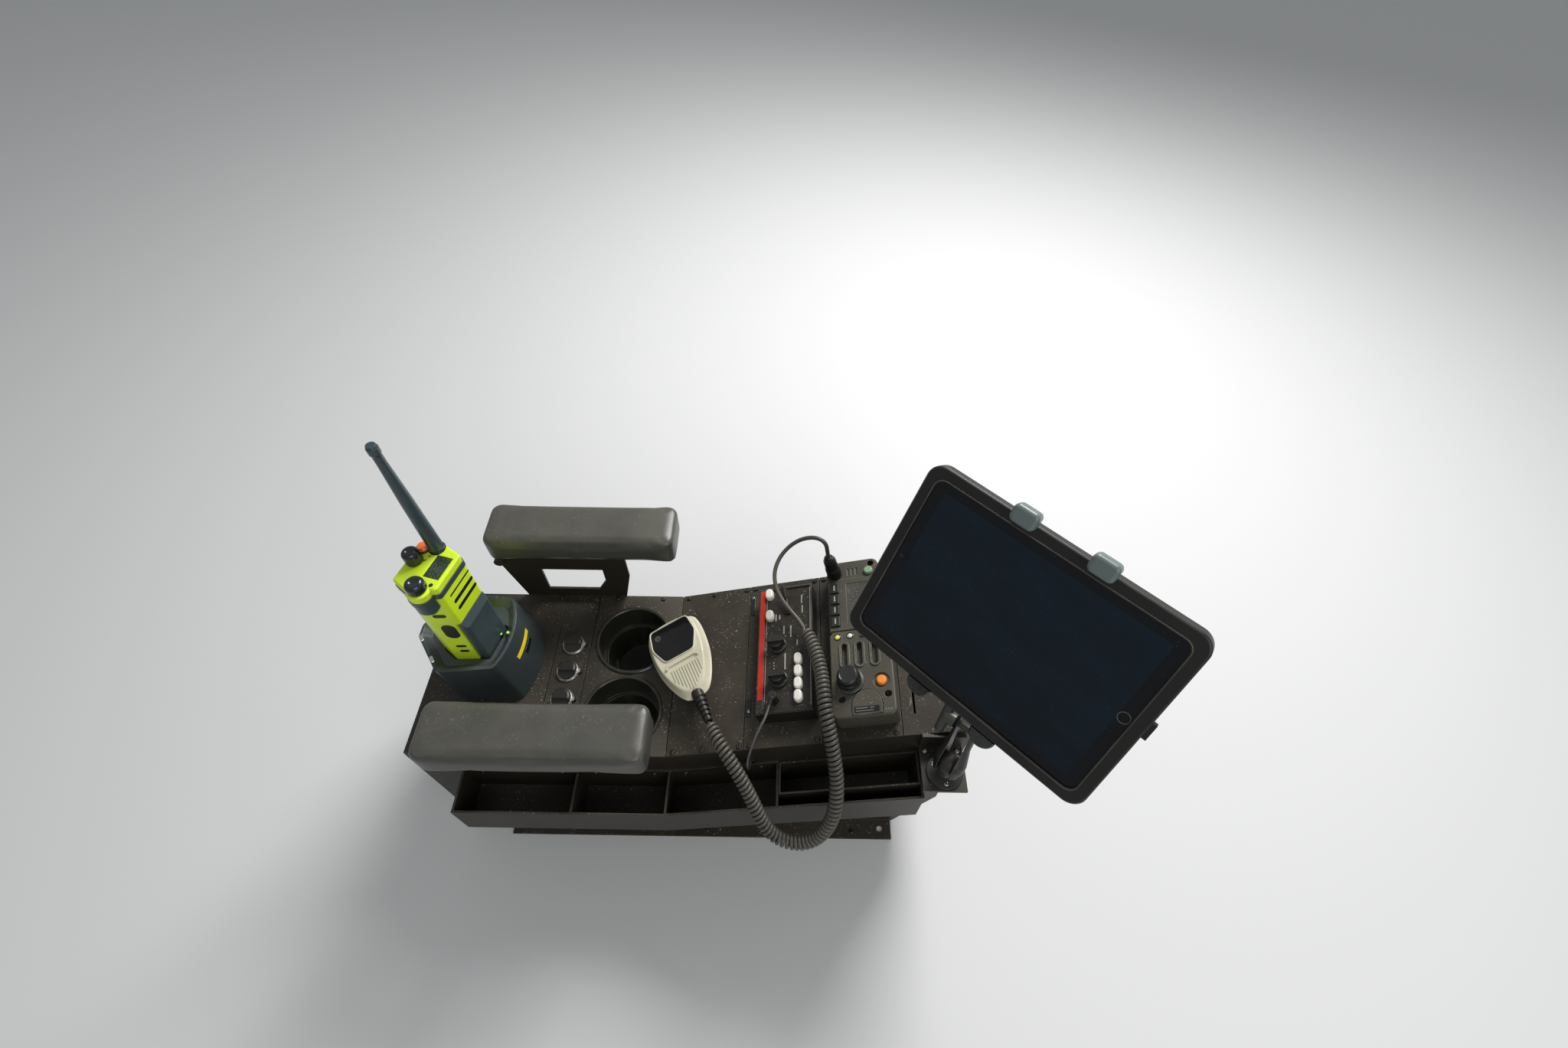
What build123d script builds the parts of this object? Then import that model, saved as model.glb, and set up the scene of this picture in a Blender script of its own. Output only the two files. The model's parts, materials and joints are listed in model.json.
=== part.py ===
"""Centre equipment console of a patrol car, with its devices.

Millimetres. +X points to the front of the car, +Y to the driver, +Z up.
The origin is on the floor, in the middle of the four floor bolts.
"""
from build123d import *
import math
import os

# Console box: a flat deck behind, then a deck that rises towards the dash
DECK_Z = 240.0
DECK_WIDTH = 214.0
REAR_X = -330.0
KINK_X = -31.0
SLOPE = 16.0
SLOPE_LENGTH = 345.0
SHEET = 3.0
PLATE = 3.0
SEAM = 0.8
RETURN_WIDTH = 14.0
FOOT_FRONT_X = 258.0
KNEE_Z = 110.0

# Floor flanges and their bolts
FLANGE_WIDTH = 26.0
FLANGE_FRONT_X = 268.0
FLANGE_REAR_X = -268.0
BOLT_SPACING_X = 480.0
BOLT_HOLE_RADIUS = 4.5

# Deck plates: name, where it starts and ends, along X behind the kink and up the slope after it
SOCKET_PLATE_X = (-184.0, -141.0)
SIREN_PLATE_S = (93.0, 184.0)
HEAD_PLATE_END_S = 271.0

# Twin cup holders
CUP_X = -88.0
CUP_YS = (DECK_WIDTH * 0.194, DECK_WIDTH * -0.2594)
CUP_RIM_RADIUS = DECK_WIDTH * 0.222
CUP_FLANGE = 4.5
CUP_STEP = 4.0
CUP_RADIUS = CUP_RIM_RADIUS - CUP_FLANGE
CUP_FLOOR_RADIUS = CUP_RADIUS - 9.0
CUP_DEPTH = 78.0
CUP_WALL = 2.5
CUP_RIM_RISE = 3.0

# Power sockets with sprung caps
SOCKET_X = -163.0
SOCKET_YS = (33.0, -3.5, -40.0)
SOCKET_RING_RADIUS = 14.0
SOCKET_BARREL_RADIUS = 10.8
SOCKET_DEPTH = 42.0
SOCKET_RING_RISE = 3.5
CAP_RADIUS = 11.8
CAP_TOP = 9.5
CAP_GAP = 0.3

# Charger and portable radio. Plans are pairs of x and half width, from the front to the rear
RADIO_X = -250.0
RADIO_Y = 5.0
RADIO_YAW = -15.0
RADIO_PLAN = ((16.5, 22.0), (-12.0, 31.0), (-32.0, 23.0))
RADIO_FOOT_Z = 268.0
RADIO_TOP_Z = 450.0
RADIO_CORNER = 4.5
BATTERY_TOP = 114.0
BATTERY_REACH = 6.0
BATTERY_LEDGE = 9.5
BATTERY_SEAT = 5.0
BATTERY_INSET = 0.5
BAND_HEIGHT = 7.0
BAND_Z = 166.0
BAND_DEPTH = 3.0
BAND_PROUD = 0.8
LOBE_SPOT = (-1.0, -26.0)
LOBE_RADIUS = 12.0
LOBE_DROP = 22.0
DISPLAY_X = (-5.0, 12.5)
DISPLAY_Y = (-11.5, 15.5)
DISPLAY_DEPTH = 1.2
GRILLE_SLOTS = ((132, 3.2), (144, 3.2), (156, 1.6))
GRILLE_LENGTH = 33.0
GRILLE_Y = 4.0
SIDE_KEYS = ((57, 10, 4), (68, 11, 4), (100, 15, 27), (132, 13.5, 5.5))
KEY_RISE = 0.5
KEY_SEAT = 1.6
RADIO_KNOBS = ((-23, 3, 8.8, 17), (-1, -26, 9.8, 13))
BUTTON_SPOT = (-23.5, 18.8)
ANTENNA_SPOT = (-10.0, 22.5)
ANTENNA_HEIGHT = 150.0
CHARGER_Y = 9.0
CHARGER_HEIGHT = 75.0
CHARGER_RIM_PLAN = ((-210.5, 46.5), (-285.0, 52.0), (-318.0, 8.0))
CHARGER_FOOT_PLAN = ((-197.3, 50.0), (-280.0, 50.0), (-312.0, 9.0))
CHARGER_BOW = 12.0
CHARGER_CORNER = 8.0
CHARGER_RIM = 3.0
DISH_DEPTH = 8.0
DISH_DRAFT = 8.0
POCKET_GAP = 1.5

# Hand microphone
MIC_S = 22.0
MIC_Y = -0.5
MIC_LIFT = 27.0
MIC_YAW = 25.5
MIC_LENGTH = 112.0
MIC_HALF_THICKNESS = 15.0
MIC_BACK_DEPTH = 15.0
MIC_RIDGE_Y = 4.0
MIC_FACE_FALL = 8.0
RELIEF_LENGTH = 34.0
RELIEF_SEAT = 7.0

# Curly cord and its straight tail
COIL_DIAMETER = 14.5
TAIL_DIAMETER = 5.0
LEAD_DIAMETER = 3.0

# Siren and light controller, in slope places: s up the slope, y across, lift off the deck.
# Its knobs, buttons and switch are measured from its passenger's end
SIREN_S = (113.0, 180.0)
SIREN_WIDTH = 163.0
SIREN_FROM_EDGE = 28.0
SIREN_Y = (SIREN_FROM_EDGE - DECK_WIDTH / 2, SIREN_FROM_EDGE + SIREN_WIDTH - DECK_WIDTH / 2)
JACK_S = 136.0
JACK_FROM_EDGE = 16.0
SIREN_LIFT = 25.0
SIREN_KNOBS = [(138, 83), (140, 40)]
SIREN_BUTTONS = [(127, 153), (128, 123), (163, 62), (163, 47), (163, 32), (163, 17)]
SIREN_SWITCH = (151, 130)
FACE_RECESS = 1.5
STRIPE_S = (115.5, 121.5)
STRIPE_Y = (SIREN_Y[0] + 17, SIREN_Y[1] - 3)

# Radio control head
HEAD_S = (200.0, 270.0)
HEAD_Y = (-93.0, 108.0)
HEAD_LIFT = 25.0
HEAD_SEAM_Y = 12.0
HEAD_KEY_YS = (70.0, 55.0, 40.0, 25.0)
FLAP_S = 239.0
FLAP_RADIUS = 16.0
HEAD_KNOB = (222.0, -52.0)
HEAD_BUTTON = (256.0, -54.0)
PLUG_S = 209.0
PLUG_Y = 92.0

# Side tray on the passenger's side
TRAY_DROP = 42.0
TRAY_DEPTH = 60.0
TRAY_WIDTH = 53.0
TRAY_WALL = 2.5
TRAY_REAR_X = -275.0
TRAY_FRONT_X = 252.0
DIVIDER_XS = (-139.0, -31.0, 97.0)
BOX_WIDTH = 36.0
BOX_RISE = 2.0

# Armrests
ARMREST_TOP_Z = 370.0
ARMREST_THICKNESS = 40.0
ARMREST_REAR_X = -260.0
ARMREST_LENGTH = 231.0
ARMREST_OVERLAP = 11.0
ARMREST_INNER_Y = DECK_WIDTH / 2 - ARMREST_OVERLAP
ARMREST_WIDTH = 64.0
ARMREST_CORNER = 12.0
ARMREST_EDGE = 6.0
HINGE_X = -250.0
HINGE_DROP = 8.0
HINGE_PIN_RADIUS = 4.0
PIN_CLEARANCE = 0.1
ARM_PLATE = 4.0
BRACKET_SHEET = 3.0
BRACKET_FRONT_X = -96.0
BRACKET_FOOT_Z = 201.0
WINDOW_REAR_X = -205.0
WINDOW_FRONT_X = -128.0
WINDOW_Z = (256.0, 300.0)
WINDOW_CORNER = (12.0, 20.0)
STOP_GAP = 0.3

# Tablet, its spring grip and the double-ball arm
TABLET_CENTRE = (292.5, 24.3 - DECK_WIDTH / 2, 496.0)
TABLET_YAW = -43.9
TABLET_LEAN = 32.4
TABLET_LENGTH = 262.0
TABLET_HEIGHT = 191.0
TABLET_THICKNESS = 15.0
TABLET_CORNER = 15.0
GLASS_MARGIN = 12.0
BALL_STANDOFF = 60.0
BALL_RADIUS = 12.5
BALL_CLEARANCE = 0.3
NECK_RADIUS = 5.5
SHELF_DROP = 26.0
BASE_BALL = (272.0, -31.0 - DECK_WIDTH / 2, 322.0)
KNOB_SHARE = 0.25
CLAMP_RADIUS = 16.5
CLAMP_WAIST = 12.5
CLAMP_GAP = 2.5
LEVER_BAR = 40.0
LEVER_RADIUS = 5.5
LEVER_REACH = 24.0
GRIP_CLAW_U = 36.0
CLAW_RADIUS = 13.0
HUB_LENGTH = 88.0
HUB_HEIGHT = 60.0
LEG_WIDTH = 12.0
LEG_SHEET = 4.0
CASE_GAP = 0.3

NODES = {}


def add(name, shape):
    """Keep a finished piece under its node name."""
    NODES[name] = shape


def slope_at(s, y, lift):
    """Place on the sloped deck: s up the slope from the kink, lift off the deck's face."""
    return Location((KINK_X, 0, DECK_Z), (0, -SLOPE, 0)) * Location((s, y, lift))


def slope_point(s, y, lift):
    """The same place as a plain point."""
    return slope_at(s, y, lift).position


def deck_z(x, drop=0.0):
    """Height of a surface that runs parallel to the deck, drop below it."""
    rise = max(0.0, x - KINK_X) * math.tan(math.radians(SLOPE))
    return DECK_Z + rise - drop


def block(x0, x1, y0, y1, z0, z1):
    """Plain block between two corners."""
    box = Box(x1 - x0, y1 - y0, z1 - z0)
    return box.moved(Location(((x0 + x1) / 2, (y0 + y1) / 2, (z0 + z1) / 2)))


def slab_xz(points, y0, y1):
    """Outline in the X-Z plane, carried from y0 to y1."""
    face = make_face(Polyline([(x, 0, z) for x, z in points], close=True))
    return extrude(face.moved(Location((0, y0, 0))), amount=y1 - y0, dir=(0, 1, 0))


def disc(radius, height, z0=0.0):
    """Upright cylinder that starts at z0."""
    return Cylinder(radius, height).moved(Location((0, 0, z0 + height / 2)))


def turned(points):
    """Solid of revolution about Z from radius and height pairs."""
    face = make_face(Polyline([(r, 0, z) for r, z in points], close=True))
    return revolve(face, Axis.Z)


def between(start, end, radius):
    """Round bar from one point to another."""
    a, b = Vector(*start), Vector(*end)
    plane = Plane(origin=a, z_dir=b - a)
    return extrude(plane * Circle(radius), amount=(b - a).length)


def mirrored(shape):
    """The passenger's-side twin of a driver's-side piece."""
    return mirror(shape, about=Plane.XZ)


def deck_line(drop, x0, x1):
    """Points of a line parallel to the deck, from x0 to x1."""
    return [(x0, deck_z(x0, drop)), (KINK_X, deck_z(KINK_X, drop)), (x1, deck_z(x1, drop))]


# Console box


FRONT_X = KINK_X + SLOPE_LENGTH * math.cos(math.radians(SLOPE))
PLATE_DROP = PLATE / math.cos(math.radians(SLOPE))
RETURN_DROP = PLATE_DROP + SHEET


def side_panel():
    """Driver's side wall: outer sheet, folded top return and floor flange with its bolt holes.

    The return is notched round the cup holders, so that one pattern serves both sides.
    """
    outer = DECK_WIDTH / 2
    outline = [(REAR_X, 0), (FOOT_FRONT_X, 0), (FRONT_X, KNEE_Z)]
    outline += list(reversed(deck_line(PLATE_DROP, REAR_X, FRONT_X)))
    wall = slab_xz(outline, outer - SHEET, outer)
    strip = deck_line(PLATE_DROP, REAR_X, FRONT_X) + list(reversed(deck_line(RETURN_DROP, REAR_X, FRONT_X)))
    top_return = slab_xz(strip, outer - SHEET - RETURN_WIDTH, outer - SHEET)
    flange = block(FLANGE_REAR_X, FLANGE_FRONT_X - FLANGE_WIDTH / 2, outer, outer + FLANGE_WIDTH, 0, SHEET)
    for x in (-BOLT_SPACING_X / 2, BOLT_SPACING_X / 2):
        flange -= disc(BOLT_HOLE_RADIUS, SHEET).moved(Location((x, outer + FLANGE_WIDTH / 2, 0)))
    for y in CUP_YS:
        notch = disc(CUP_RADIUS + CUP_WALL + 0.5, 30, DECK_Z - 30)
        top_return -= notch.moved(Location((CUP_X, abs(y), 0)))
    return wall + top_return + flange


def end_panels():
    """Rear and front walls, set between the side walls under their returns."""
    half = DECK_WIDTH / 2 - SHEET
    rear = block(REAR_X, REAR_X + SHEET, -half, half, 0, deck_z(REAR_X, RETURN_DROP))
    top = deck_z(FRONT_X - SHEET, RETURN_DROP)
    front = block(FRONT_X - SHEET, FRONT_X, -half, half, KNEE_Z, top)
    toe = [(FOOT_FRONT_X - SHEET, 0), (FOOT_FRONT_X, 0), (FRONT_X, KNEE_Z), (FRONT_X - SHEET, KNEE_Z)]
    return rear, front + slab_xz(toe, -half, half)


def flat_plate(x0, x1):
    """Deck plate behind the kink."""
    half = DECK_WIDTH / 2
    return block(x0 + SEAM / 2, x1 - SEAM / 2, -half, half, DECK_Z - PLATE, DECK_Z)


def slope_plate(s0, s1):
    """Deck plate on the slope."""
    half = DECK_WIDTH / 2
    return block(s0 + SEAM / 2, s1 - SEAM / 2, -half, half, -PLATE, 0)


def deck_plates():
    """The seven plates of the deck, with their holes."""
    add("charger_plate", flat_plate(REAR_X, SOCKET_PLATE_X[0]))
    sockets = flat_plate(*SOCKET_PLATE_X)
    for y in SOCKET_YS:
        sockets -= disc(SOCKET_BARREL_RADIUS + 0.2, 3 * PLATE).moved(Location((SOCKET_X, y, DECK_Z - 2 * PLATE)))
    add("socket_plate", sockets)
    cups = flat_plate(SOCKET_PLATE_X[1], KINK_X)
    for y in CUP_YS:
        cups -= disc(CUP_RADIUS + CUP_WALL + 0.3, 3 * PLATE).moved(Location((CUP_X, y, DECK_Z - 2 * PLATE)))
    add("cup_plate", cups)
    add("blank_plate", slope_plate(0, SIREN_PLATE_S[0]).moved(slope_at(0, 0, 0)))
    add("siren_plate", slope_plate(*SIREN_PLATE_S).moved(slope_at(0, 0, 0)))
    add("head_plate", slope_plate(SIREN_PLATE_S[1], HEAD_PLATE_END_S).moved(slope_at(0, 0, 0)))
    end = slope_plate(HEAD_PLATE_END_S, SLOPE_LENGTH)
    end -= block(284, 286.5, -84, -35, -2 * PLATE, PLATE)
    add("end_plate", end.moved(slope_at(0, 0, 0)))


def cup_well():
    """One cup holder, its flange on the deck at z = 0."""
    rim = CUP_RIM_RISE
    step = CUP_DEPTH * 0.45
    outer = [(0, -CUP_DEPTH - CUP_WALL), (CUP_FLOOR_RADIUS + CUP_WALL, -CUP_DEPTH - CUP_WALL),
             (CUP_RADIUS - CUP_STEP + CUP_WALL, -step - CUP_WALL), (CUP_RADIUS + CUP_WALL, -step),
             (CUP_RADIUS + CUP_WALL, 0), (CUP_RIM_RADIUS, 0), (CUP_RIM_RADIUS, rim * 0.5),
             (CUP_RIM_RADIUS - 1.5, rim), (CUP_RADIUS + 1.2, rim), (CUP_RADIUS, rim - 1.2)]
    inner = [(CUP_RADIUS, -step), (CUP_RADIUS - CUP_STEP, -step), (CUP_FLOOR_RADIUS, -CUP_DEPTH), (0, -CUP_DEPTH)]
    return turned(outer + inner)


def cup_wells():
    """Both cup holders."""
    wells = [cup_well().moved(Location((CUP_X, y, DECK_Z))) for y in CUP_YS]
    add("cup_wells", Compound(wells))


def socket_ring():
    """Chromed ring and barrel of a power socket with the lug of its cap's hinge, on the deck at z = 0."""
    bore = SOCKET_BARREL_RADIUS - 1.2
    lip = SOCKET_RING_RADIUS
    ring = turned([(0, -SOCKET_DEPTH), (SOCKET_BARREL_RADIUS, -SOCKET_DEPTH), (SOCKET_BARREL_RADIUS, 0), (lip, 0),
                   (lip, 1.5), (lip - 1.5, SOCKET_RING_RISE), (bore, SOCKET_RING_RISE), (bore, -SOCKET_DEPTH + 2),
                   (0, -SOCKET_DEPTH + 2)])
    lug = block(lip - 1.5, lip + 3.5, -2.5, 2.5, 0, SOCKET_RING_RISE)
    return ring + fillet(lug.edges().group_by(Axis.X)[-1].filter_by(Axis.Z), 1.5)


def socket_cap():
    """Black cap over the ring: a plug in the bore, a domed head with a flat, and a ridge for the finger."""
    plug = SOCKET_BARREL_RADIUS - 1.2 - CAP_GAP
    seat = SOCKET_RING_RISE + CAP_GAP
    head = turned([(0, -2), (plug, -2), (plug, seat), (CAP_RADIUS, seat), (CAP_RADIUS, CAP_TOP - 2.5),
                   (CAP_RADIUS - 1, CAP_TOP - 0.7), (CAP_RADIUS - 3, CAP_TOP), (0, CAP_TOP)])
    head -= block(-CAP_RADIUS - 1, -CAP_RADIUS + 2, -CAP_RADIUS, CAP_RADIUS, seat, CAP_TOP + 1)
    hollow = Cylinder(14, 3 * CAP_RADIUS).moved(Location((0, -CAP_RADIUS, CAP_TOP + 10), (0, 90, 0)))
    return head - hollow


def power_sockets():
    """Three sockets in a row across the deck."""
    places = [Location((SOCKET_X, y, DECK_Z)) for y in SOCKET_YS]
    add("socket_rings", Compound([socket_ring().moved(p) for p in places]))
    add("socket_caps", Compound([socket_cap().moved(p) for p in places]))


# Charger and portable radio


def radio_place(z):
    """Frame of the portable radio at height z: x to its front, y across."""
    return Location((RADIO_X, RADIO_Y, z), (0, 0, RADIO_YAW))


def charger_plan(plan, inset=0.0):
    """Plan of the charger at one height: bowed front, sides that widen, chamfered narrow rear."""
    (front, front_half), (waist, waist_half), (rear, rear_half) = plan
    shoulder = front - CHARGER_BOW
    nose = ThreePointArc((shoulder, -front_half, 0), (front, 0, 0), (shoulder, front_half, 0))
    back = Polyline([(shoulder, front_half, 0), (waist, waist_half, 0), (rear, rear_half, 0),
                     (rear, -rear_half, 0), (waist, -waist_half, 0), (shoulder, -front_half, 0)])
    face = facing_up(make_face(Wire([nose, *back.edges()])))
    if inset:
        face = offset(face, amount=-inset, kind=Kind.INTERSECTION)
    return Pos(0, CHARGER_Y) * fillet(face.vertices(), CHARGER_CORNER)


def charger():
    """Flared charger with a dished top behind a thin rim, and a pocket that fits the radio."""
    top = DECK_Z + CHARGER_HEIGHT
    foot = Pos(0, 0, DECK_Z) * charger_plan(CHARGER_FOOT_PLAN)
    body = loft([foot, Pos(0, 0, top) * charger_plan(CHARGER_RIM_PLAN)])
    mouth = Pos(0, 0, top) * charger_plan(CHARGER_RIM_PLAN, CHARGER_RIM)
    floor = Pos(0, 0, top - DISH_DEPTH) * charger_plan(CHARGER_RIM_PLAN, CHARGER_RIM + DISH_DRAFT)
    body -= loft([floor, mouth])
    pocket = radio_plan(POCKET_GAP) + battery_plan(POCKET_GAP)
    body -= extrude(pocket, amount=CHARGER_HEIGHT).moved(radio_place(RADIO_FOOT_Z - STOP_GAP))
    add("charger", body)


def radio_plan(grow=0.0):
    """Six-sided plan of the portable radio: narrow front, widest at the cheeks, narrower rear."""
    left = [(x, half, 0) for x, half in RADIO_PLAN]
    right = [(x, -half, 0) for x, half in reversed(RADIO_PLAN)]
    face = facing_up(make_face(Polyline(left + right, close=True)))
    if grow:
        face = offset(face, amount=grow, kind=Kind.INTERSECTION)
    return fillet(face.vertices(), RADIO_CORNER)


def battery_plan(grow=0.0):
    """Plan of the battery in front of the shell."""
    front, half = RADIO_PLAN[0]
    reach = front + BATTERY_REACH + grow
    plan = Pos(reach / 2, 0) * Rectangle(reach, 2 * (half - BATTERY_INSET + grow))
    return fillet(plan.vertices().group_by(Axis.X)[-1], RADIO_CORNER)


def cap_plan(grow=0.0):
    """Plan of the radio's top: the shell's, with a round lobe under the lower knob."""
    return radio_plan(grow) + Pos(*LOBE_SPOT) * Circle(LOBE_RADIUS + grow)


def radio_band():
    """Dark band under the radio's top, with the lobe that carries the lower knob."""
    ring = extrude(cap_plan(BAND_PROUD), amount=BAND_HEIGHT)
    ring -= extrude(radio_plan(-BAND_DEPTH), amount=BAND_HEIGHT)
    lobe = turned([(0, 0), (LOBE_RADIUS * 0.6, 0), (LOBE_RADIUS, 8), (LOBE_RADIUS, LOBE_DROP), (0, LOBE_DROP)])
    lobe = lobe.moved(Location((*LOBE_SPOT, -LOBE_DROP)))
    lobe -= extrude(radio_plan(), amount=-LOBE_DROP - 1)
    return (ring + lobe).moved(Location((0, 0, BAND_Z)))


def cheek_plane(z):
    """Plane of the passenger's cheek at height z: x along it to the front, z out of it."""
    (x0, half0), (x1, half1) = RADIO_PLAN[:2]
    along = Vector(x0 - x1, half1 - half0, 0).normalized()
    middle = ((x0 + x1) / 2, -(half0 + half1) / 2, z)
    return Plane(origin=middle, x_dir=along, z_dir=(along.Y, -along.X, 0))


def side_keys():
    """Push-to-talk key and the small side keys, as solids let into the passenger's cheek."""
    keys = []
    for z, across, tall in SIDE_KEYS:
        outline = SlotOverall(max(across, tall), min(across, tall), rotation=90 if tall > across else 0)
        face = cheek_plane(z) * Pos(0, 0, KEY_RISE) * outline
        keys.append(extrude(face, amount=-KEY_RISE - KEY_SEAT))
    return keys


def portable_body():
    """Bright shell with slanted cheeks and a front grille; the lower front is left open for the battery."""
    height = RADIO_TOP_Z - RADIO_FOOT_Z
    front = RADIO_PLAN[0][0]
    body = extrude(radio_plan(), amount=BAND_Z)
    body -= block(front - BATTERY_SEAT, front + 5, -50, 50, -1, BATTERY_TOP)
    body += extrude(radio_plan(-BAND_DEPTH), amount=BAND_HEIGHT).moved(Location((0, 0, BAND_Z)))
    cap_z = BAND_Z + BAND_HEIGHT
    cap = extrude(cap_plan(), amount=height - cap_z).moved(Location((0, 0, cap_z)))
    body += chamfer(cap.edges().group_by(Axis.Z)[-1], 1.5)
    for z, width in GRILLE_SLOTS:
        face = Plane(origin=(front + 1, GRILLE_Y, z), x_dir=(0, 1, 0), z_dir=(1, 0, 0))
        body -= extrude(face * SlotOverall(GRILLE_LENGTH, width), amount=-2.5)
    for key in side_keys():
        body -= key
    body -= disc(1.5, 3, height - 2).moved(Location((9, -18.5, 0)))
    return body - block(*DISPLAY_X, *DISPLAY_Y, height - DISPLAY_DEPTH, height + 1)


def radio_battery():
    """Battery in front of the shell, with a sloped ledge at its top."""
    front, half = RADIO_PLAN[0]
    back, reach = front - BATTERY_SEAT, front + BATTERY_REACH
    outline = [(back, 0), (reach, 0), (reach - 1, BATTERY_TOP - BATTERY_LEDGE), (front, BATTERY_TOP),
               (back, BATTERY_TOP)]
    battery = slab_xz(outline, BATTERY_INSET - half, half - BATTERY_INSET)
    upright = battery.edges().filter_by(lambda edge: abs(edge.tangent_at(0).Z) > 0.9).group_by(Axis.X)[-1]
    return fillet(upright, RADIO_CORNER)


def domed_knob(radius, height):
    """Smooth knob with a domed top and a finger dimple."""
    knob = turned([(0, 0), (radius - 0.6, 0), (radius, 2), (radius - 0.5, height), (0, height)])
    knob = fillet(knob.edges().group_by(Axis.Z)[-1], radius * 0.55)
    return knob - Sphere(radius).moved(Location((radius * 0.2, 0, height + radius * 0.82)))


def portable_radio():
    """Portable radio with its band, battery, side keys, display, knobs, button and antenna."""
    height = RADIO_TOP_Z - RADIO_FOOT_Z
    place = radio_place(RADIO_FOOT_Z)
    add("portable_body", portable_body().moved(place))
    add("portable_band", radio_band().moved(place))
    add("portable_keys", Compound(side_keys()).moved(place))
    add("portable_battery", radio_battery().moved(place))
    display = block(*DISPLAY_X, *DISPLAY_Y, height - DISPLAY_DEPTH, height - 0.3)
    add("portable_display", display.moved(place))
    knobs = [domed_knob(r, tall).moved(place * Location((x, y, height))) for x, y, r, tall in RADIO_KNOBS]
    add("portable_knobs", Compound(knobs))
    button = turned([(0, 0), (6.2, 0), (6.2, 3), (4.6, 5.2), (0, 5.6)])
    add("portable_button", button.moved(place * Location((*BUTTON_SPOT, height))))
    mast = turned([(0, 0), (7.4, 0), (7.4, 6), (6.2, ANTENNA_HEIGHT * 0.5), (4.5, ANTENNA_HEIGHT * 0.85),
                   (4.5, ANTENNA_HEIGHT - 12), (5.4, ANTENNA_HEIGHT - 9), (5.4, ANTENNA_HEIGHT - 3),
                   (4.2, ANTENNA_HEIGHT), (0, ANTENNA_HEIGHT)])
    add("portable_antenna", mast.moved(place * Location((*ANTENNA_SPOT, height))))


# Hand microphone


def mic_place():
    """Frame of the microphone: x across, y towards its top, z out of its face."""
    return slope_at(MIC_S, MIC_Y, MIC_LIFT) * Location((0, 0, 0), (0, 0, MIC_YAW))


def facing_up(face):
    """The same face with its normal along +Z."""
    surface = face.faces()[0]
    return surface if surface.normal_at().Z > 0 else -surface


def mic_outline(inset=0.0):
    """Leaf-shaped outline of the shell: crowned top, bowed sides, narrow cord end."""
    half = MIC_LENGTH / 2
    top, foot = (32 - inset, half - 9 - inset), (13 - inset, -half + inset)
    crown = ThreePointArc((-top[0], top[1], 0), (0, half - inset, 0), (top[0], top[1], 0))
    right = ThreePointArc((top[0], top[1], 0), (33.5 - inset, 2, 0), (foot[0], foot[1], 0))
    left = ThreePointArc((-foot[0], foot[1], 0), (-33.5 + inset, 2, 0), (-top[0], top[1], 0))
    base = Line((foot[0], foot[1], 0), (-foot[0], foot[1], 0))
    face = facing_up(make_face(Wire([crown, right, base, left])))
    face = fillet(face.vertices().group_by(Axis.Y)[-1], 9.0)
    return fillet(face.vertices().group_by(Axis.Y)[0], 5.0)


def mic_panel_outline():
    """Outline of the black panel above the ridge."""
    points = [(-24, 44), (24, 44), (28, 26), (18, MIC_RIDGE_Y + 3), (-18, MIC_RIDGE_Y + 3), (-28, 26)]
    face = facing_up(make_face(Polyline([(x, y, 0) for x, y in points], close=True)))
    return fillet(face.vertices(), 4.0)


def mic_shell():
    """Shell with a raised upper face, a face that falls from the ridge to the cord, and grille ribs."""
    outline = mic_outline()
    top = MIC_HALF_THICKNESS
    shell = extrude(outline, amount=top, taper=20)
    shell += mirror(extrude(outline, amount=MIC_BACK_DEPTH, taper=24), about=Plane.XY)
    foot_y = -MIC_LENGTH / 2
    wedge = [(MIC_RIDGE_Y, top), (foot_y - 5, top - MIC_FACE_FALL), (foot_y - 5, top + 5), (MIC_RIDGE_Y, top + 5)]
    face = make_face(Polyline([(-50, y, z) for y, z in wedge], close=True))
    shell -= extrude(face, amount=100, dir=(1, 0, 0))
    fall = math.degrees(math.atan2(MIC_FACE_FALL, MIC_RIDGE_Y - foot_y + 5))
    face_place = Location((0, MIC_RIDGE_Y, top), (fall, 0, 0))
    for k in range(9):
        x = -16 + 4 * k
        rib = block(x - 0.9, x + 0.9, -42 + 0.9 * abs(x), -5, -1.0, 0.9)
        shell += rib.moved(face_place)
    shell -= extrude(mic_panel_outline(), amount=4).moved(Location((0, 0, top - 1.5)))
    return shell


def mic_relief():
    """Ribbed rubber sleeve, seated in the shell's cord end, its axis along -y from z = 0."""
    profile = [(0, 0), (7.5, 0), (7.5, RELIEF_SEAT + 2)]
    ribs = 5
    pitch = (RELIEF_LENGTH - 4) / ribs
    for k in range(ribs):
        z = RELIEF_SEAT + 3 + pitch * k
        radius = 7.2 - 0.55 * k
        profile += [(radius - 1.3, z), (radius - 1.3, z + 1.6), (radius, z + 1.9), (radius, z + pitch - 0.4)]
    profile += [(4.2, RELIEF_SEAT + RELIEF_LENGTH), (0, RELIEF_SEAT + RELIEF_LENGTH)]
    return turned(profile).moved(Location((0, RELIEF_SEAT - MIC_LENGTH / 2, 0), (90, 0, 0)))


def microphone():
    """Cream shell, black face panel and ribbed strain relief."""
    place = mic_place()
    seat = between((0, RELIEF_SEAT - MIC_LENGTH / 2, 0), (0, -MIC_LENGTH / 2 - 2, 0), 7.5)
    add("mic_shell", (mic_shell() - seat).moved(place))
    panel = extrude(mic_panel_outline(), amount=1.9).moved(Location((0, 0, MIC_HALF_THICKNESS - 1.5)))
    panel = panel + disc(3.6, 0.6).moved(Location((-17, 33, MIC_HALF_THICKNESS + 0.4)))
    add("mic_panel", panel.moved(place))
    add("mic_relief", mic_relief().moved(place))


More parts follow.
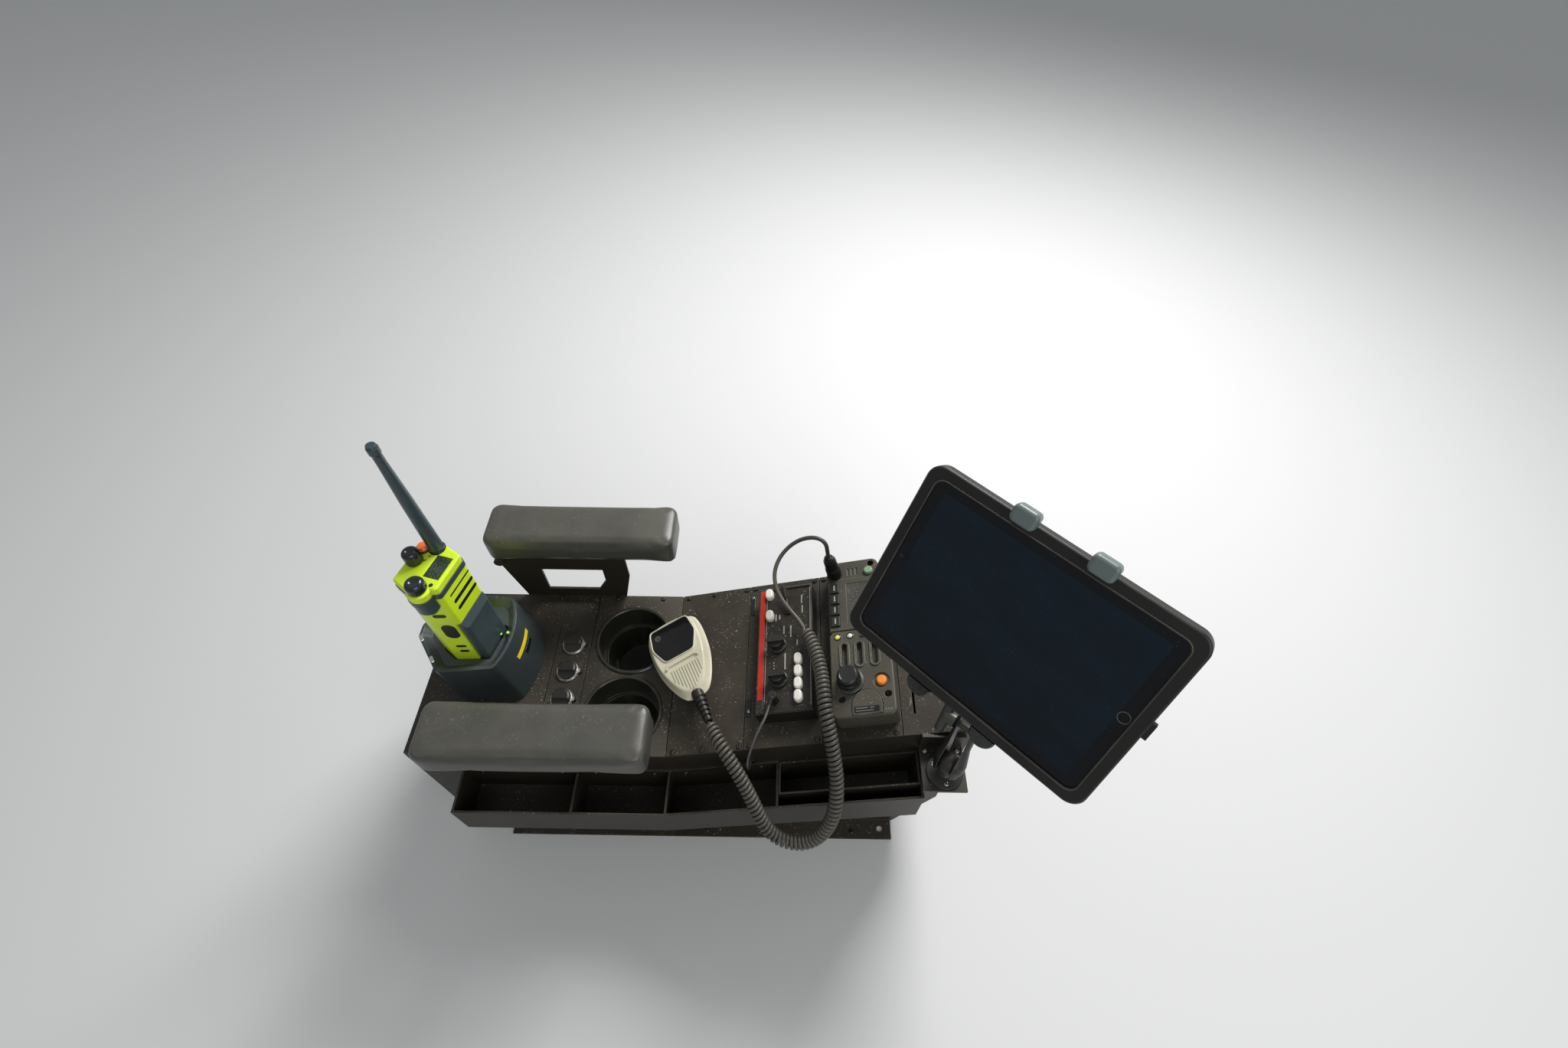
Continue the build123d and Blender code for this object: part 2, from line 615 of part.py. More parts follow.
def mic_clip():
    """Steel clip on the deck, with a slot for the button on the microphone's back."""
    clip = block(-15, 15, -12, 12, 0, 2) + block(-15, 15, -12, 12, 9, 10.5)
    for side in (-1, 1):
        clip += block(-15, 15, min(9.5 * side, 12 * side), max(9.5 * side, 12 * side), 2, 9)
    slot = block(-3.8, 3.8, -20, 0, 8, 12) + disc(3.8, 4, 8)
    return clip - slot


def mic_button():
    """Button on the microphone's back: a neck in the clip's slot and a head under it."""
    return disc(3.2, MIC_LIFT - MIC_HALF_THICKNESS - 8.4, 8.4) + disc(7.5, 3.2, 5.2)


# Cords


def cord_tube(points, diameter, name):
    """Straight runs joined by arcs as large as their two runs allow."""
    vectors = [Vector(*p) for p in points]
    radii = []
    for a, b, c in zip(vectors, vectors[1:], vectors[2:]):
        shorter = min((b - a).length, (c - b).length)
        turn = math.radians((b - a).get_angle(c - b))
        radii.append(0.45 * shorter / math.tan(turn / 2))
    path = FilletPolyline(*vectors, radius=radii)
    start = Plane(origin=vectors[0], z_dir=vectors[1] - vectors[0])
    tube = sweep(start * Circle(diameter / 2), path=path)
    print(name, "length", round(path.length, 1), "least radius", round(min(radii), 1),
          "volume ratio", round(tube.volume / (math.pi * diameter ** 2 / 4 * path.length), 4))
    return tube


# Curly cord, from the strain relief over the tray and back to the top of the controller
COIL_ROUTE = [
    (19.96, -81.75, 282.70), (25.76, -94.41, 284.36), (34.5, -108, 283.5), (45.5, -123, 278), (56.5, -137.5, 268.5),
    (66.5, -151, 256), (75, -164, 243), (83.5, -175.5, 230), (94.5, -184.5, 219.5), (109.5, -189.5, 214),
    (126, -191, 215.5), (139.5, -188.5, 224), (149.5, -183, 237), (156.5, -174.5, 253), (160, -162, 270.5),
    (160, -146, 287), (156.5, -128.5, 304), (152, -110, 319), (147, -90, 330), (145, -70, 333.5),
    (144, -48, 331), (139.5, -23, 329), (133, -2, 326.5), (125, 15, 323.5)]

# Straight tail, from the curls round to the plug on the radio control head
TAIL_ROUTE = [
    (125, 15, 323.5), (119.8, 26.05, 321.55), (110.5, 37, 322.5), (99, 51, 326), (91, 66, 331),
    (89, 82, 339), (95, 96, 349), (106, 104.5, 360), (118.5, 107, 370.5), (131, 105, 378.5),
    (142, 101, 381.5), (149.3, 97, 377), (151.3, 93.7, 368), (152.8, 92, 357.2)]

# Lead from the controller's jack over the deck's edge to its grommet, y from the passenger's side wall
LEAD_ROUTE = [
    (87, 35, 308.5), (84, 24, 304), (80, 14, 294), (76, 3, 283), (72, -6, 271),
    (69.5, -12, 258), (67.5, -14.5, 248), (66.3, -11, 238.5), (66, -3, 235.5)]
LEAD_ROUTE = [(x, y - DECK_WIDTH / 2, z) for x, y, z in LEAD_ROUTE]


def cords():
    """The two stretches of the microphone's cord and the controller's lead."""
    add("curly_cord", cord_tube(COIL_ROUTE, COIL_DIAMETER, "curly_cord"))
    add("cord_tail", cord_tube(TAIL_ROUTE, TAIL_DIAMETER, "cord_tail"))
    add("siren_lead", cord_tube(LEAD_ROUTE, LEAD_DIAMETER, "siren_lead"))


def stub(route_end, route_next, length, radius):
    """Round bar that continues a cord past its end, away from its next point."""
    end, follower = Vector(*route_end), Vector(*route_next)
    return between(end, end + (end - follower).normalized() * length, radius)


def cord_ends():
    """Plug on the straight tail, jack plug of the lead, and the lead's grommet."""
    plug = stub(TAIL_ROUTE[-1], TAIL_ROUTE[-2], 8, 4.5)
    body = turned([(0, 0), (9, 0), (9, 14), (8, 16), (7.5, 30), (5.5, 35), (0, 35)])
    add("mic_plug", body.moved(slope_at(PLUG_S, PLUG_Y, HEAD_LIFT)) + plug)
    jack = disc(5.0, 14, SIREN_LIFT - FACE_RECESS)
    jack = jack.moved(slope_at(JACK_S, SIREN_Y[0] + JACK_FROM_EDGE, 0))
    add("siren_jack", jack + stub(LEAD_ROUTE[0], LEAD_ROUTE[1], 9, 2.8))
    x, y, z = LEAD_ROUTE[-1]
    wall = -DECK_WIDTH / 2
    eye = Cylinder(6, 2.5).moved(Location((x, wall - 1.25, z - 1.7), (90, 0, 0)))
    sleeve = stub(LEAD_ROUTE[-1], LEAD_ROUTE[-2], 8, 3.0)
    sleeve -= block(x - 20, x + 20, wall, wall + 20, z - 20, z + 20)
    add("grommet", eye + sleeve)


# Siren controller


def siren_controller():
    """Controller box with a rimmed face, stripe, knobs, buttons and switch, built in slope places."""
    s0, s1 = SIREN_S
    y0, y1 = SIREN_Y
    place = slope_at(0, 0, 0)
    case = block(s0, s1, y0, y1, 0, SIREN_LIFT)
    case = chamfer(case.edges().group_by(Axis.Z)[-1], 1.2)
    case -= block(*STRIPE_S, *STRIPE_Y, SIREN_LIFT - 0.6, SIREN_LIFT + 1)
    case -= block(STRIPE_S[1], s1 - 2.5, y0 + 3, y1 - 3, SIREN_LIFT - FACE_RECESS, SIREN_LIFT + 1)
    add("siren_case", case.moved(place))
    stripe = block(*STRIPE_S, *STRIPE_Y, SIREN_LIFT - 0.6, SIREN_LIFT + 0.2)
    add("siren_stripe", stripe.moved(place))
    face = SIREN_LIFT - FACE_RECESS
    knob = turned([(0, 0), (10.5, 0), (10.5, 3), (8.5, 4), (7.8, 12), (7.0, 13), (0, 13)])
    for k in range(12):
        knob -= disc(1.0, 14, 4).moved(Location((0, 0, 0), (0, 0, 30 * k)) * Location((8.8, 0, 0)))
    pointer = block(-10, 10, -2.6, 2.6, 3, 17)
    knob += fillet(pointer.edges().filter_by(Axis.Z), 2)
    knobs = [knob.moved(Location((s, y0 + y, face))) for s, y in SIREN_KNOBS]
    add("siren_knobs", Compound(knobs).moved(place))
    button = extrude(SlotOverall(14, 9.5), amount=7)
    button = fillet(button.edges().group_by(Axis.Z)[-1], 2.5)
    places = [Location((s, y0 + y, face), (0, 0, 90)) for s, y in SIREN_BUTTONS]
    add("siren_buttons", Compound([button.moved(p) for p in places]).moved(place))
    switch = disc(6.5, 3) + disc(4, 5)
    switch += between((0, 0, 4), (-1.5, 10, 11), 1.6) + between((-1.5, 10, 11), (-3.5, 23, 16), 3.6)
    add("siren_switch", switch.moved(place * Location((SIREN_SWITCH[0], y0 + SIREN_SWITCH[1], face))))


# Radio control head


def head_case():
    """Control head: display half, raised control half, and an ear at each end."""
    s0, s1 = HEAD_S
    y0, y1 = HEAD_Y
    display = block(s0, s1, HEAD_SEAM_Y, y1 - 24, 0, HEAD_LIFT)
    display = chamfer(display.edges().group_by(Axis.Z)[-1], 1.5)
    display -= block(s0 + 22, s1 - 4, HEAD_SEAM_Y + 9, y1 - 32, HEAD_LIFT - 2, HEAD_LIFT + 2)
    control = block(s0, s1, y0, HEAD_SEAM_Y - 1, 0, HEAD_LIFT + 2)
    control = fillet(control.edges().filter_by(Axis.Z), 7)
    control = fillet(control.edges().group_by(Axis.Z)[-1], 2)
    neck = block(s0 + 3, s1 - 3, HEAD_SEAM_Y - 8, HEAD_SEAM_Y + 6, 0, HEAD_LIFT - 1.5)
    high_ear = block(s0 - 1, s1 - 8, y1 - 27, y1, 0, HEAD_LIFT - 1)
    high_ear = fillet(high_ear.edges().filter_by(Axis.Z).group_by(Axis.Y)[-1], 9)
    high_ear -= disc(4, 12, HEAD_LIFT - 8).moved(Location((s1 - 17, y1 - 6.5, 0)))
    flap = Pos(FLAP_S, y0 + 8) * Rectangle(2 * FLAP_RADIUS, 11)
    flap += Pos(FLAP_S, y0 + 13.5) * Circle(FLAP_RADIUS) & Pos(FLAP_S, y0 + 18) * Rectangle(40, 32)
    flap = extrude(flap, amount=1.4).moved(Location((0, 0, HEAD_LIFT + 2)))
    case = display + neck + control + high_ear + flap
    for s in (217, 234, 251):
        lip = extrude(SlotOverall(32, 11), amount=3.2).moved(Location((s, -20, HEAD_LIFT), (0, 0, 90)))
        slot = extrude(SlotOverall(28, 6), amount=9).moved(Location((s, -20, HEAD_LIFT - 4), (0, 0, 90)))
        case = case + lip - slot
    for s, y in ((262, -70), (212, -72)):
        case -= disc(4, 8, HEAD_LIFT - 5).moved(Location((s, y, 0)))
    for k in range(3):
        case -= block(224 + 5 * k, 226 + 5 * k, y1 - 20, y1 - 10, HEAD_LIFT - 2, HEAD_LIFT + 1)
    case -= disc(9, 4, HEAD_LIFT + 0.5).moved(Location((*HEAD_BUTTON, 0)))
    return case


def radio_head():
    """Control head with its screen, keys, knob and round buttons."""
    s0, s1 = HEAD_S
    y1 = HEAD_Y[1]
    place = slope_at(0, 0, 0)
    add("head_case", head_case().moved(place))
    screen = block(s0 + 22, s1 - 4, HEAD_SEAM_Y + 9, y1 - 32, HEAD_LIFT - 2, HEAD_LIFT - 0.5)
    add("head_screen", screen.moved(place))
    key = block(-5.5, 5.5, -6.8, 6.8, 0, 2.5)
    key = chamfer(key.edges().group_by(Axis.Z)[-1], 0.8)
    keys = [key.moved(Location((s0 + 8, y, HEAD_LIFT))) for y in HEAD_KEY_YS]
    add("head_keys", Compound(keys).moved(place))
    knob = turned([(0, 0), (15, 0), (15, 3), (12.5, 4.5), (11.5, 17), (10, 18.5), (0, 18.5)])
    add("head_knob", knob.moved(place * Location((*HEAD_KNOB, HEAD_LIFT + 2))))
    button = turned([(0, 0), (5.5, 0), (5.5, 2.5), (4.2, 4), (0, 4)])
    spots = [(*HEAD_BUTTON, HEAD_LIFT + 0.5), (s1 - 20, y1 - 17.5, HEAD_LIFT - 1)]
    add("head_buttons", Compound([button.moved(Location(spot)) for spot in spots]).moved(place))


# Side tray and document box


def parallel_slab(x0, x1, top_drop, bottom_drop, y0, y1):
    """Slab whose top and bottom run parallel to the deck."""
    top = deck_line(top_drop, x0, x1) if x0 < KINK_X < x1 else [(x0, deck_z(x0, top_drop)), (x1, deck_z(x1, top_drop))]
    low = deck_line(bottom_drop, x0, x1) if x0 < KINK_X < x1 else [(x0, deck_z(x0, bottom_drop)),
                                                                  (x1, deck_z(x1, bottom_drop))]
    return slab_xz(top + list(reversed(low)), y0, y1)


def side_tray():
    """Open tray down the passenger's side, with dividers."""
    wall = -DECK_WIDTH / 2
    bottom = TRAY_DROP + TRAY_DEPTH
    tray = parallel_slab(TRAY_REAR_X, TRAY_FRONT_X, TRAY_DROP, bottom, wall - TRAY_WIDTH, wall)
    edges = [TRAY_REAR_X, *DIVIDER_XS, TRAY_FRONT_X]
    for x0, x1 in zip(edges, edges[1:]):
        start = x0 + (TRAY_WALL if x0 == TRAY_REAR_X else TRAY_WALL / 2)
        end = x1 - (TRAY_WALL if x1 == TRAY_FRONT_X else TRAY_WALL / 2)
        tray -= parallel_slab(start, end, TRAY_DROP - 10, bottom - TRAY_WALL,
                              wall - TRAY_WIDTH + TRAY_WALL, wall - TRAY_WALL)
    add("side_tray", tray)


def document_box():
    """Open box for papers, standing in the tray between two dividers."""
    x0, x1 = DIVIDER_XS[-1] + TRAY_WALL / 2 + 0.3, TRAY_FRONT_X - TRAY_WALL - 0.3
    back = -DECK_WIDTH / 2 - TRAY_WALL - 0.3
    floor = TRAY_DROP + TRAY_DEPTH - TRAY_WALL
    box = parallel_slab(x0, x1, TRAY_DROP - BOX_RISE, floor, back - BOX_WIDTH, back)
    box -= parallel_slab(x0 + 2, x1 - 2, TRAY_DROP - BOX_RISE - 10, floor - 2, back - BOX_WIDTH + 2, back - 2)
    add("document_box", box)


# Armrests, modelled on the driver's side and mirrored


HINGE_Z = ARMREST_TOP_Z - ARMREST_THICKNESS - HINGE_DROP
PAD_BOTTOM = ARMREST_TOP_Z - ARMREST_THICKNESS


def armrest_bracket():
    """Upright plate bolted to the console's wall, with a window, a top shelf and the hinge ear."""
    wall = DECK_WIDTH / 2
    shelf = PAD_BOTTOM - ARM_PLATE - STOP_GAP
    outline = [(HINGE_X + 22, BRACKET_FOOT_Z), (BRACKET_FRONT_X - 20, BRACKET_FOOT_Z), (BRACKET_FRONT_X, shelf - 40),
               (BRACKET_FRONT_X, shelf), (HINGE_X + 14, shelf), (HINGE_X + 6, HINGE_Z), (HINGE_X - 4, HINGE_Z - 6)]
    plate = slab_xz(outline, wall, wall + BRACKET_SHEET)
    ear = Cylinder(7, BRACKET_SHEET).moved(Location((HINGE_X, wall + BRACKET_SHEET / 2, HINGE_Z), (90, 0, 0)))
    hole = Cylinder(HINGE_PIN_RADIUS + PIN_CLEARANCE, 20).moved(Location((HINGE_X, wall, HINGE_Z), (90, 0, 0)))
    low, high = WINDOW_Z
    corner = [(WINDOW_FRONT_X - WINDOW_CORNER[0], low), (WINDOW_FRONT_X, low + WINDOW_CORNER[1])]
    outline = [(WINDOW_REAR_X, low), *corner, (WINDOW_FRONT_X, high), (WINDOW_REAR_X, high)]
    window = slab_xz(outline, wall - 1, wall + 10)
    top = block(HINGE_X + 18, BRACKET_FRONT_X, wall, wall + 36, shelf - BRACKET_SHEET, shelf)
    return plate + ear - hole - window + top


def armrest_arm():
    """Steel plate under the pad with its hinge ear and pin."""
    wall = DECK_WIDTH / 2 + BRACKET_SHEET + 0.4
    plate = block(HINGE_X - 6, HINGE_X + 190, wall, wall + 40, PAD_BOTTOM - ARM_PLATE, PAD_BOTTOM)
    ear = Cylinder(8, ARM_PLATE).moved(Location((HINGE_X, wall + ARM_PLATE / 2, HINGE_Z), (90, 0, 0)))
    ear += block(HINGE_X - 6, HINGE_X + 6, wall, wall + ARM_PLATE, HINGE_Z, PAD_BOTTOM)
    inner = DECK_WIDTH / 2 - 5
    pin = between((HINGE_X, inner, HINGE_Z), (HINGE_X, wall + 1, HINGE_Z), HINGE_PIN_RADIUS)
    head = between((HINGE_X, inner - 2, HINGE_Z), (HINGE_X, inner + 2, HINGE_Z), HINGE_PIN_RADIUS + 2)
    return plate + ear + pin + head


def armrest_pad():
    """Moulded foam pad with rounded edges."""
    pad = block(ARMREST_REAR_X, ARMREST_REAR_X + ARMREST_LENGTH, ARMREST_INNER_Y, ARMREST_INNER_Y + ARMREST_WIDTH,
                PAD_BOTTOM, ARMREST_TOP_Z)
    pad = fillet(pad.edges().filter_by(Axis.Z), ARMREST_CORNER)
    return fillet(pad.edges().group_by(Axis.Z)[-1], ARMREST_EDGE)


def armrests():
    """Both armrests."""
    for name, shape in (("bracket", armrest_bracket()), ("arm", armrest_arm()), ("pad", armrest_pad())):
        add(f"armrest_{name}_left", shape)
        add(f"armrest_{name}_right", mirrored(shape))


# Tablet on its double-ball arm


YAW = math.radians(TABLET_YAW)
LEAN = math.radians(TABLET_LEAN)
TABLET_NORMAL = Vector(math.sin(YAW) * math.cos(LEAN), -math.cos(YAW) * math.cos(LEAN), math.sin(LEAN))
TABLET_PLANE = Plane(origin=TABLET_CENTRE, x_dir=(math.cos(YAW), math.sin(YAW), 0), z_dir=TABLET_NORMAL)
TOP_BALL = Vector(*TABLET_CENTRE) - TABLET_NORMAL * BALL_STANDOFF
ARM_DIRECTION = (TOP_BALL - Vector(*BASE_BALL)).normalized()
KNOB_DIRECTION = TABLET_NORMAL.cross(ARM_DIRECTION).normalized()


def tablet():
    """Rugged case with a raised rim, and the glass set into it. The face is at the plane's z = 0."""
    outline = fillet(Rectangle(TABLET_LENGTH, TABLET_HEIGHT).vertices(), TABLET_CORNER)
    case = extrude(outline, amount=-TABLET_THICKNESS)
    case = fillet(case.edges().group_by(Axis.Z)[0], 3)
    case = chamfer(case.edges().group_by(Axis.Z)[-1], 1.5)
    opening = fillet(Rectangle(TABLET_LENGTH - 2 * GLASS_MARGIN, TABLET_HEIGHT - 2 * GLASS_MARGIN).vertices(), 9)
    case -= extrude(opening, amount=-9)
    tab = block(TABLET_LENGTH / 2, TABLET_LENGTH / 2 + 4, -5, 11, -9, -3)
    glass = extrude(opening, amount=-7.4).moved(Location((0, 0, -1.6)))
    place = TABLET_PLANE.location
    add("tablet_case", (case + tab).moved(place))
    add("tablet_glass", glass.moved(place))


def top_claw():
    """Rounded rubber claw over the top edge, before the leg's slot is cut."""
    edge = TABLET_HEIGHT / 2
    cap = block(-LEG_WIDTH, LEG_WIDTH, edge - 6, edge + 11, CASE_GAP, 12)
    cap = fillet(cap.edges().filter_by(Axis.Z), 5)
    return fillet(cap.edges().group_by(Axis.Z)[-1], 4)


def foot_claw():
    """Half-round ribbed rubber claw beyond the lower edge, drawn as if at the top edge."""
    edge = TABLET_HEIGHT / 2 + CASE_GAP
    cap = Cylinder(CLAW_RADIUS, TABLET_THICKNESS).moved(Location((0, edge, 0.6 - TABLET_THICKNESS / 2)))
    cap -= block(-CLAW_RADIUS, CLAW_RADIUS, edge - CLAW_RADIUS, edge, -2 * TABLET_THICKNESS, 2)
    cap = chamfer(cap.edges().group_by(Axis.Z)[-1].filter_by(GeomType.CIRCLE), 1.5)
    for k in range(4):
        v = edge + 1.5 + 2.4 * k
        cap -= block(-9.5, 9.5, v, v + 1.1, -0.4, 2)
    return cap


def sprung_leg(tip):
    """Bent flat spring from the hub round the case's edge, up to its tip."""
    half = LEG_WIDTH / 2
    inner = TABLET_HEIGHT / 2 + 0.4
    outer = inner + LEG_SHEET
    behind = -TABLET_THICKNESS - LEG_SHEET
    leg = block(-half, half, HUB_HEIGHT / 3, outer, behind - LEG_SHEET, behind)
    return leg + block(-half, half, inner, outer, behind - LEG_SHEET, tip)


def spring_grip():
    """Hub and ball behind the tablet, with four sprung legs and their rubber claws."""
    back = -TABLET_THICKNESS
    hub = block(-HUB_LENGTH / 2, HUB_LENGTH / 2, -HUB_HEIGHT / 2, HUB_HEIGHT / 2, back - 12, back - CASE_GAP)
    hub = fillet(hub.edges().filter_by(Axis.Z), 8)
    frame = hub + disc(NECK_RADIUS, BALL_STANDOFF + back - 8, -BALL_STANDOFF)
    frame += Sphere(BALL_RADIUS).moved(Location((0, 0, -BALL_STANDOFF)))
    top_leg, foot_leg = sprung_leg(5), sprung_leg(-3)
    caps = []
    for u in (-GRIP_CLAW_U, GRIP_CLAW_U):
        across = Location((u, 0, 0))
        frame += top_leg.moved(across) + mirror(foot_leg, about=Plane.XZ).moved(across)
        caps.append((top_claw() - top_leg).moved(across))
        caps.append(mirror(foot_claw() - foot_leg, about=Plane.XZ).moved(across))
    place = TABLET_PLANE.location
    add("grip_frame", frame.moved(place))
    add("grip_claws", Compound(caps).moved(place))


def arm_frame():
    """Frame of the arm: z along it from the base ball, x out of its wing knob."""
    return Plane(origin=BASE_BALL, x_dir=KNOB_DIRECTION, z_dir=ARM_DIRECTION).location


def ball_arm():
    """Two clamp halves that hold a ball at each end, and the wing knob that draws them together."""
    length = (TOP_BALL - Vector(*BASE_BALL)).length
    cover = BALL_RADIUS * 0.7
    side = [(0, -cover), (14, -cover), (CLAMP_RADIUS, 0), (CLAMP_RADIUS, 6), (CLAMP_WAIST, 24)]
    arm = turned(side + [(r, length - z) for r, z in reversed(side)])
    arm -= Sphere(BALL_RADIUS + BALL_CLEARANCE)
    arm -= Sphere(BALL_RADIUS + BALL_CLEARANCE).moved(Location((0, 0, length)))
    gap = NECK_RADIUS + CLAMP_GAP
    arm -= block(-gap, gap, -CLAMP_RADIUS, CLAMP_RADIUS, -CLAMP_RADIUS, length + CLAMP_RADIUS)
    knob_z = length * KNOB_SHARE
    bolt = between((-14, 0, knob_z), (LEVER_REACH - 2, 0, knob_z), 3.5)
    arm -= between((-LEVER_REACH, 0, knob_z), (LEVER_REACH, 0, knob_z), 3.5)
    add("mount_arm", arm.moved(arm_frame()))
    half = LEVER_BAR / 2
    bar = between((LEVER_REACH, 0, knob_z - half), (LEVER_REACH, 0, knob_z + half), LEVER_RADIUS)
    bar = fillet(bar.edges(), LEVER_RADIUS - 1)
    face = CLAMP_WAIST + 0.2
    stem = between((face, 0, knob_z), (LEVER_REACH, 0, knob_z), 7)
    nut = between((-face - 4.3, 0, knob_z), (-face, 0, knob_z), 7)
    add("mount_knob", (bolt + stem + bar + nut).moved(arm_frame()))


def ball_base():
    """Shelf bracket bolted to the console's wall, with the round base and ball that the arm holds."""
    x, y, z = BASE_BALL
    wall = -DECK_WIDTH / 2
    shelf_z = z - SHELF_DROP
    shelf = block(x - 24, x + 22, y - 20, wall, shelf_z - 4, shelf_z)
    plate = block(x - 24, x + 22, wall - 4, wall, shelf_z - 4, shelf_z + 26)
    base = turned([(0, 0), (19, 0), (19, 3), (8, 5), (NECK_RADIUS, 7), (NECK_RADIUS, SHELF_DROP),
                   (0, SHELF_DROP)])
    base += Sphere(BALL_RADIUS).moved(Location((0, 0, SHELF_DROP)))
    add("mount_shelf", shelf + plate)
    add("mount_base", base.moved(Location((x, y, shelf_z))))


def build():
    """Make every piece and write one file for each."""
    left = side_panel()
    add("side_panel_left", left)
    add("side_panel_right", mirrored(left))
    rear, front = end_panels()
    add("rear_panel", rear)
    add("front_panel", front)
    deck_plates()
    cup_wells()
    power_sockets()
    charger()
    portable_radio()
    microphone()
    clip_place = slope_at(MIC_S, MIC_Y, 0) * Location((0, 0, 0), (0, 0, MIC_YAW))
    add("mic_clip", mic_clip().moved(clip_place))
    add("mic_button", mic_button().moved(clip_place))
    cords()
    cord_ends()
    siren_controller()
    radio_head()
    side_tray()
    document_box()
    armrests()
    tablet()
    spring_grip()
    ball_arm()
    ball_base()
    os.makedirs("parts", exist_ok=True)
    for name, shape in NODES.items():
        export_step(shape, f"parts/{name}.step")


build()
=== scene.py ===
"""Looks of the patrol car's centre equipment console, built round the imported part."""
import bmesh
import bpy
import json
import math
from mathutils import Matrix, Vector


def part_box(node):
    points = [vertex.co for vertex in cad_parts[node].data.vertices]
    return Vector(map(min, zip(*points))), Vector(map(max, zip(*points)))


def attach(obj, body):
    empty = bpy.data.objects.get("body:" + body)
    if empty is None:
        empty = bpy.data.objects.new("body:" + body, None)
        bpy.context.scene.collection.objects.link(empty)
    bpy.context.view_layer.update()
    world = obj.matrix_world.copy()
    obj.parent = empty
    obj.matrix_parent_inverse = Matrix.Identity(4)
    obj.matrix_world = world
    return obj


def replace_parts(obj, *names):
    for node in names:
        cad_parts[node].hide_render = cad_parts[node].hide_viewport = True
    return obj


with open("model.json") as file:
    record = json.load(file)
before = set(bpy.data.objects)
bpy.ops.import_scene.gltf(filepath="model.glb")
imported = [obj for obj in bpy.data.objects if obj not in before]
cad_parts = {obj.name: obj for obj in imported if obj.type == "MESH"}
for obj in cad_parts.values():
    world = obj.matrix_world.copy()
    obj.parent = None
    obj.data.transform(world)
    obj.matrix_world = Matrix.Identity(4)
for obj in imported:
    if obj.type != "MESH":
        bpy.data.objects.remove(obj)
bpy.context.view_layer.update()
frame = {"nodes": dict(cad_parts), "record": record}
NODES = frame["nodes"]
MM = 0.001

# The deck, as in the part's source, in millimetres: its height, and where it bends up into its slope
DECK_Z = 240.0
KINK_X = -31.0
SLOPE = math.radians(16)


# Camera


def add_camera():
    """The photograph's viewpoint: above the passenger's seat, looking across and down."""
    place = (0.100, -0.385, 1.030)
    tilt, roll = math.radians(38.0), math.radians(0.9)
    lens = bpy.data.cameras.new("view")
    lens.lens = 16.0
    lens.sensor_width = 36.0
    camera = bpy.data.objects.new("view", lens)
    bpy.context.scene.collection.objects.link(camera)
    turn = Matrix.Rotation(tilt, 4, "X") @ Matrix.Rotation(roll, 4, "Z")
    camera.matrix_world = Matrix.Translation(place) @ turn
    bpy.context.scene.camera = camera


add_camera()


# Cords: sizes in metres, and routes as in the part's source, but for the lead's middle points, which bow more
COIL_DIAMETER = 0.0166
WIRE_DIAMETER = 0.0045
WIRE_RESOLUTION = 2
COIL_PITCH = 0.0052
COIL_RUN_OUT = 0.008
TAIL_DIAMETER = 0.005
LEAD_DIAMETER = 0.003


def metres(points):
    """Points in metres, from millimetres."""
    return [(x * MM, y * MM, z * MM) for x, y, z in points]


COIL_ROUTE = metres([
    (19.96, -81.75, 282.70), (25.76, -94.41, 284.36), (34.5, -108, 283.5), (45.5, -123, 278),
    (56.5, -137.5, 268.5), (66.5, -151, 256), (75, -164, 243), (83.5, -175.5, 230), (94.5, -184.5, 219.5),
    (109.5, -189.5, 214), (126, -191, 215.5), (139.5, -188.5, 224), (149.5, -183, 237), (156.5, -174.5, 253),
    (160, -162, 270.5), (160, -146, 287), (156.5, -128.5, 304), (152, -110, 319), (147, -90, 330),
    (145, -70, 333.5), (144, -48, 331), (139.5, -23, 329), (133, -2, 326.5), (125, 15, 323.5)])
TAIL_ROUTE = metres([
    (125, 15, 323.5), (119.8, 26.05, 321.55), (110.5, 37, 322.5), (99, 51, 326), (91, 66, 331),
    (89, 82, 339), (95, 96, 349), (106, 104.5, 360), (118.5, 107, 370.5), (131, 105, 378.5),
    (142, 101, 381.5), (149.3, 97, 377), (151.3, 93.7, 368), (152.8, 92, 357.2)])
LEAD_ROUTE = metres([
    (87, -72, 308.5), (84, -83, 304), (77, -93, 296), (70.5, -103.5, 284), (66, -112.5, 271),
    (63.5, -119, 258), (63.5, -121.5, 248), (65, -118, 238.5), (66, -110, 235.5)])


# Meshes and curves; a finish is given by its name
FINISH = {}


def link(obj):
    """Put an object into the scene."""
    bpy.context.scene.collection.objects.link(obj)
    return obj


def mesh_object(name, mesh, finish):
    """Object of a finished mesh with one material."""
    mesh.materials.clear()
    mesh.materials.append(FINISH[finish])
    return link(bpy.data.objects.new(name, mesh))


def smooth_curve(name, points, resolution=8):
    """Curve of one NURBS spline that bends smoothly round the points."""
    curve = bpy.data.curves.new(name, "CURVE")
    curve.dimensions = "3D"
    spline = curve.splines.new("NURBS")
    spline.points.add(len(points) - 1)
    for point, place in zip(spline.points, points):
        point.co = (*place, 1.0)
    spline.order_u = 3
    spline.use_endpoint_u = True
    spline.resolution_u = resolution
    return curve


def round_cord(name, points, diameter, finish, resolution=8):
    """Round cord along its route."""
    curve = smooth_curve(name, points, resolution)
    curve.bevel_depth = diameter / 2
    curve.bevel_resolution = 4
    curve.use_fill_caps = True
    curve.materials.append(FINISH[finish])
    return link(bpy.data.objects.new(name, curve))


def line_of(points, resolution=8):
    """Points along the smooth line of a route."""
    holder = bpy.data.objects.new("line", smooth_curve("line", points, resolution))
    mesh = bpy.data.meshes.new_from_object(holder)
    places = [v.co.copy() for v in mesh.vertices]
    bpy.data.objects.remove(holder)
    bpy.data.meshes.remove(mesh)
    return places


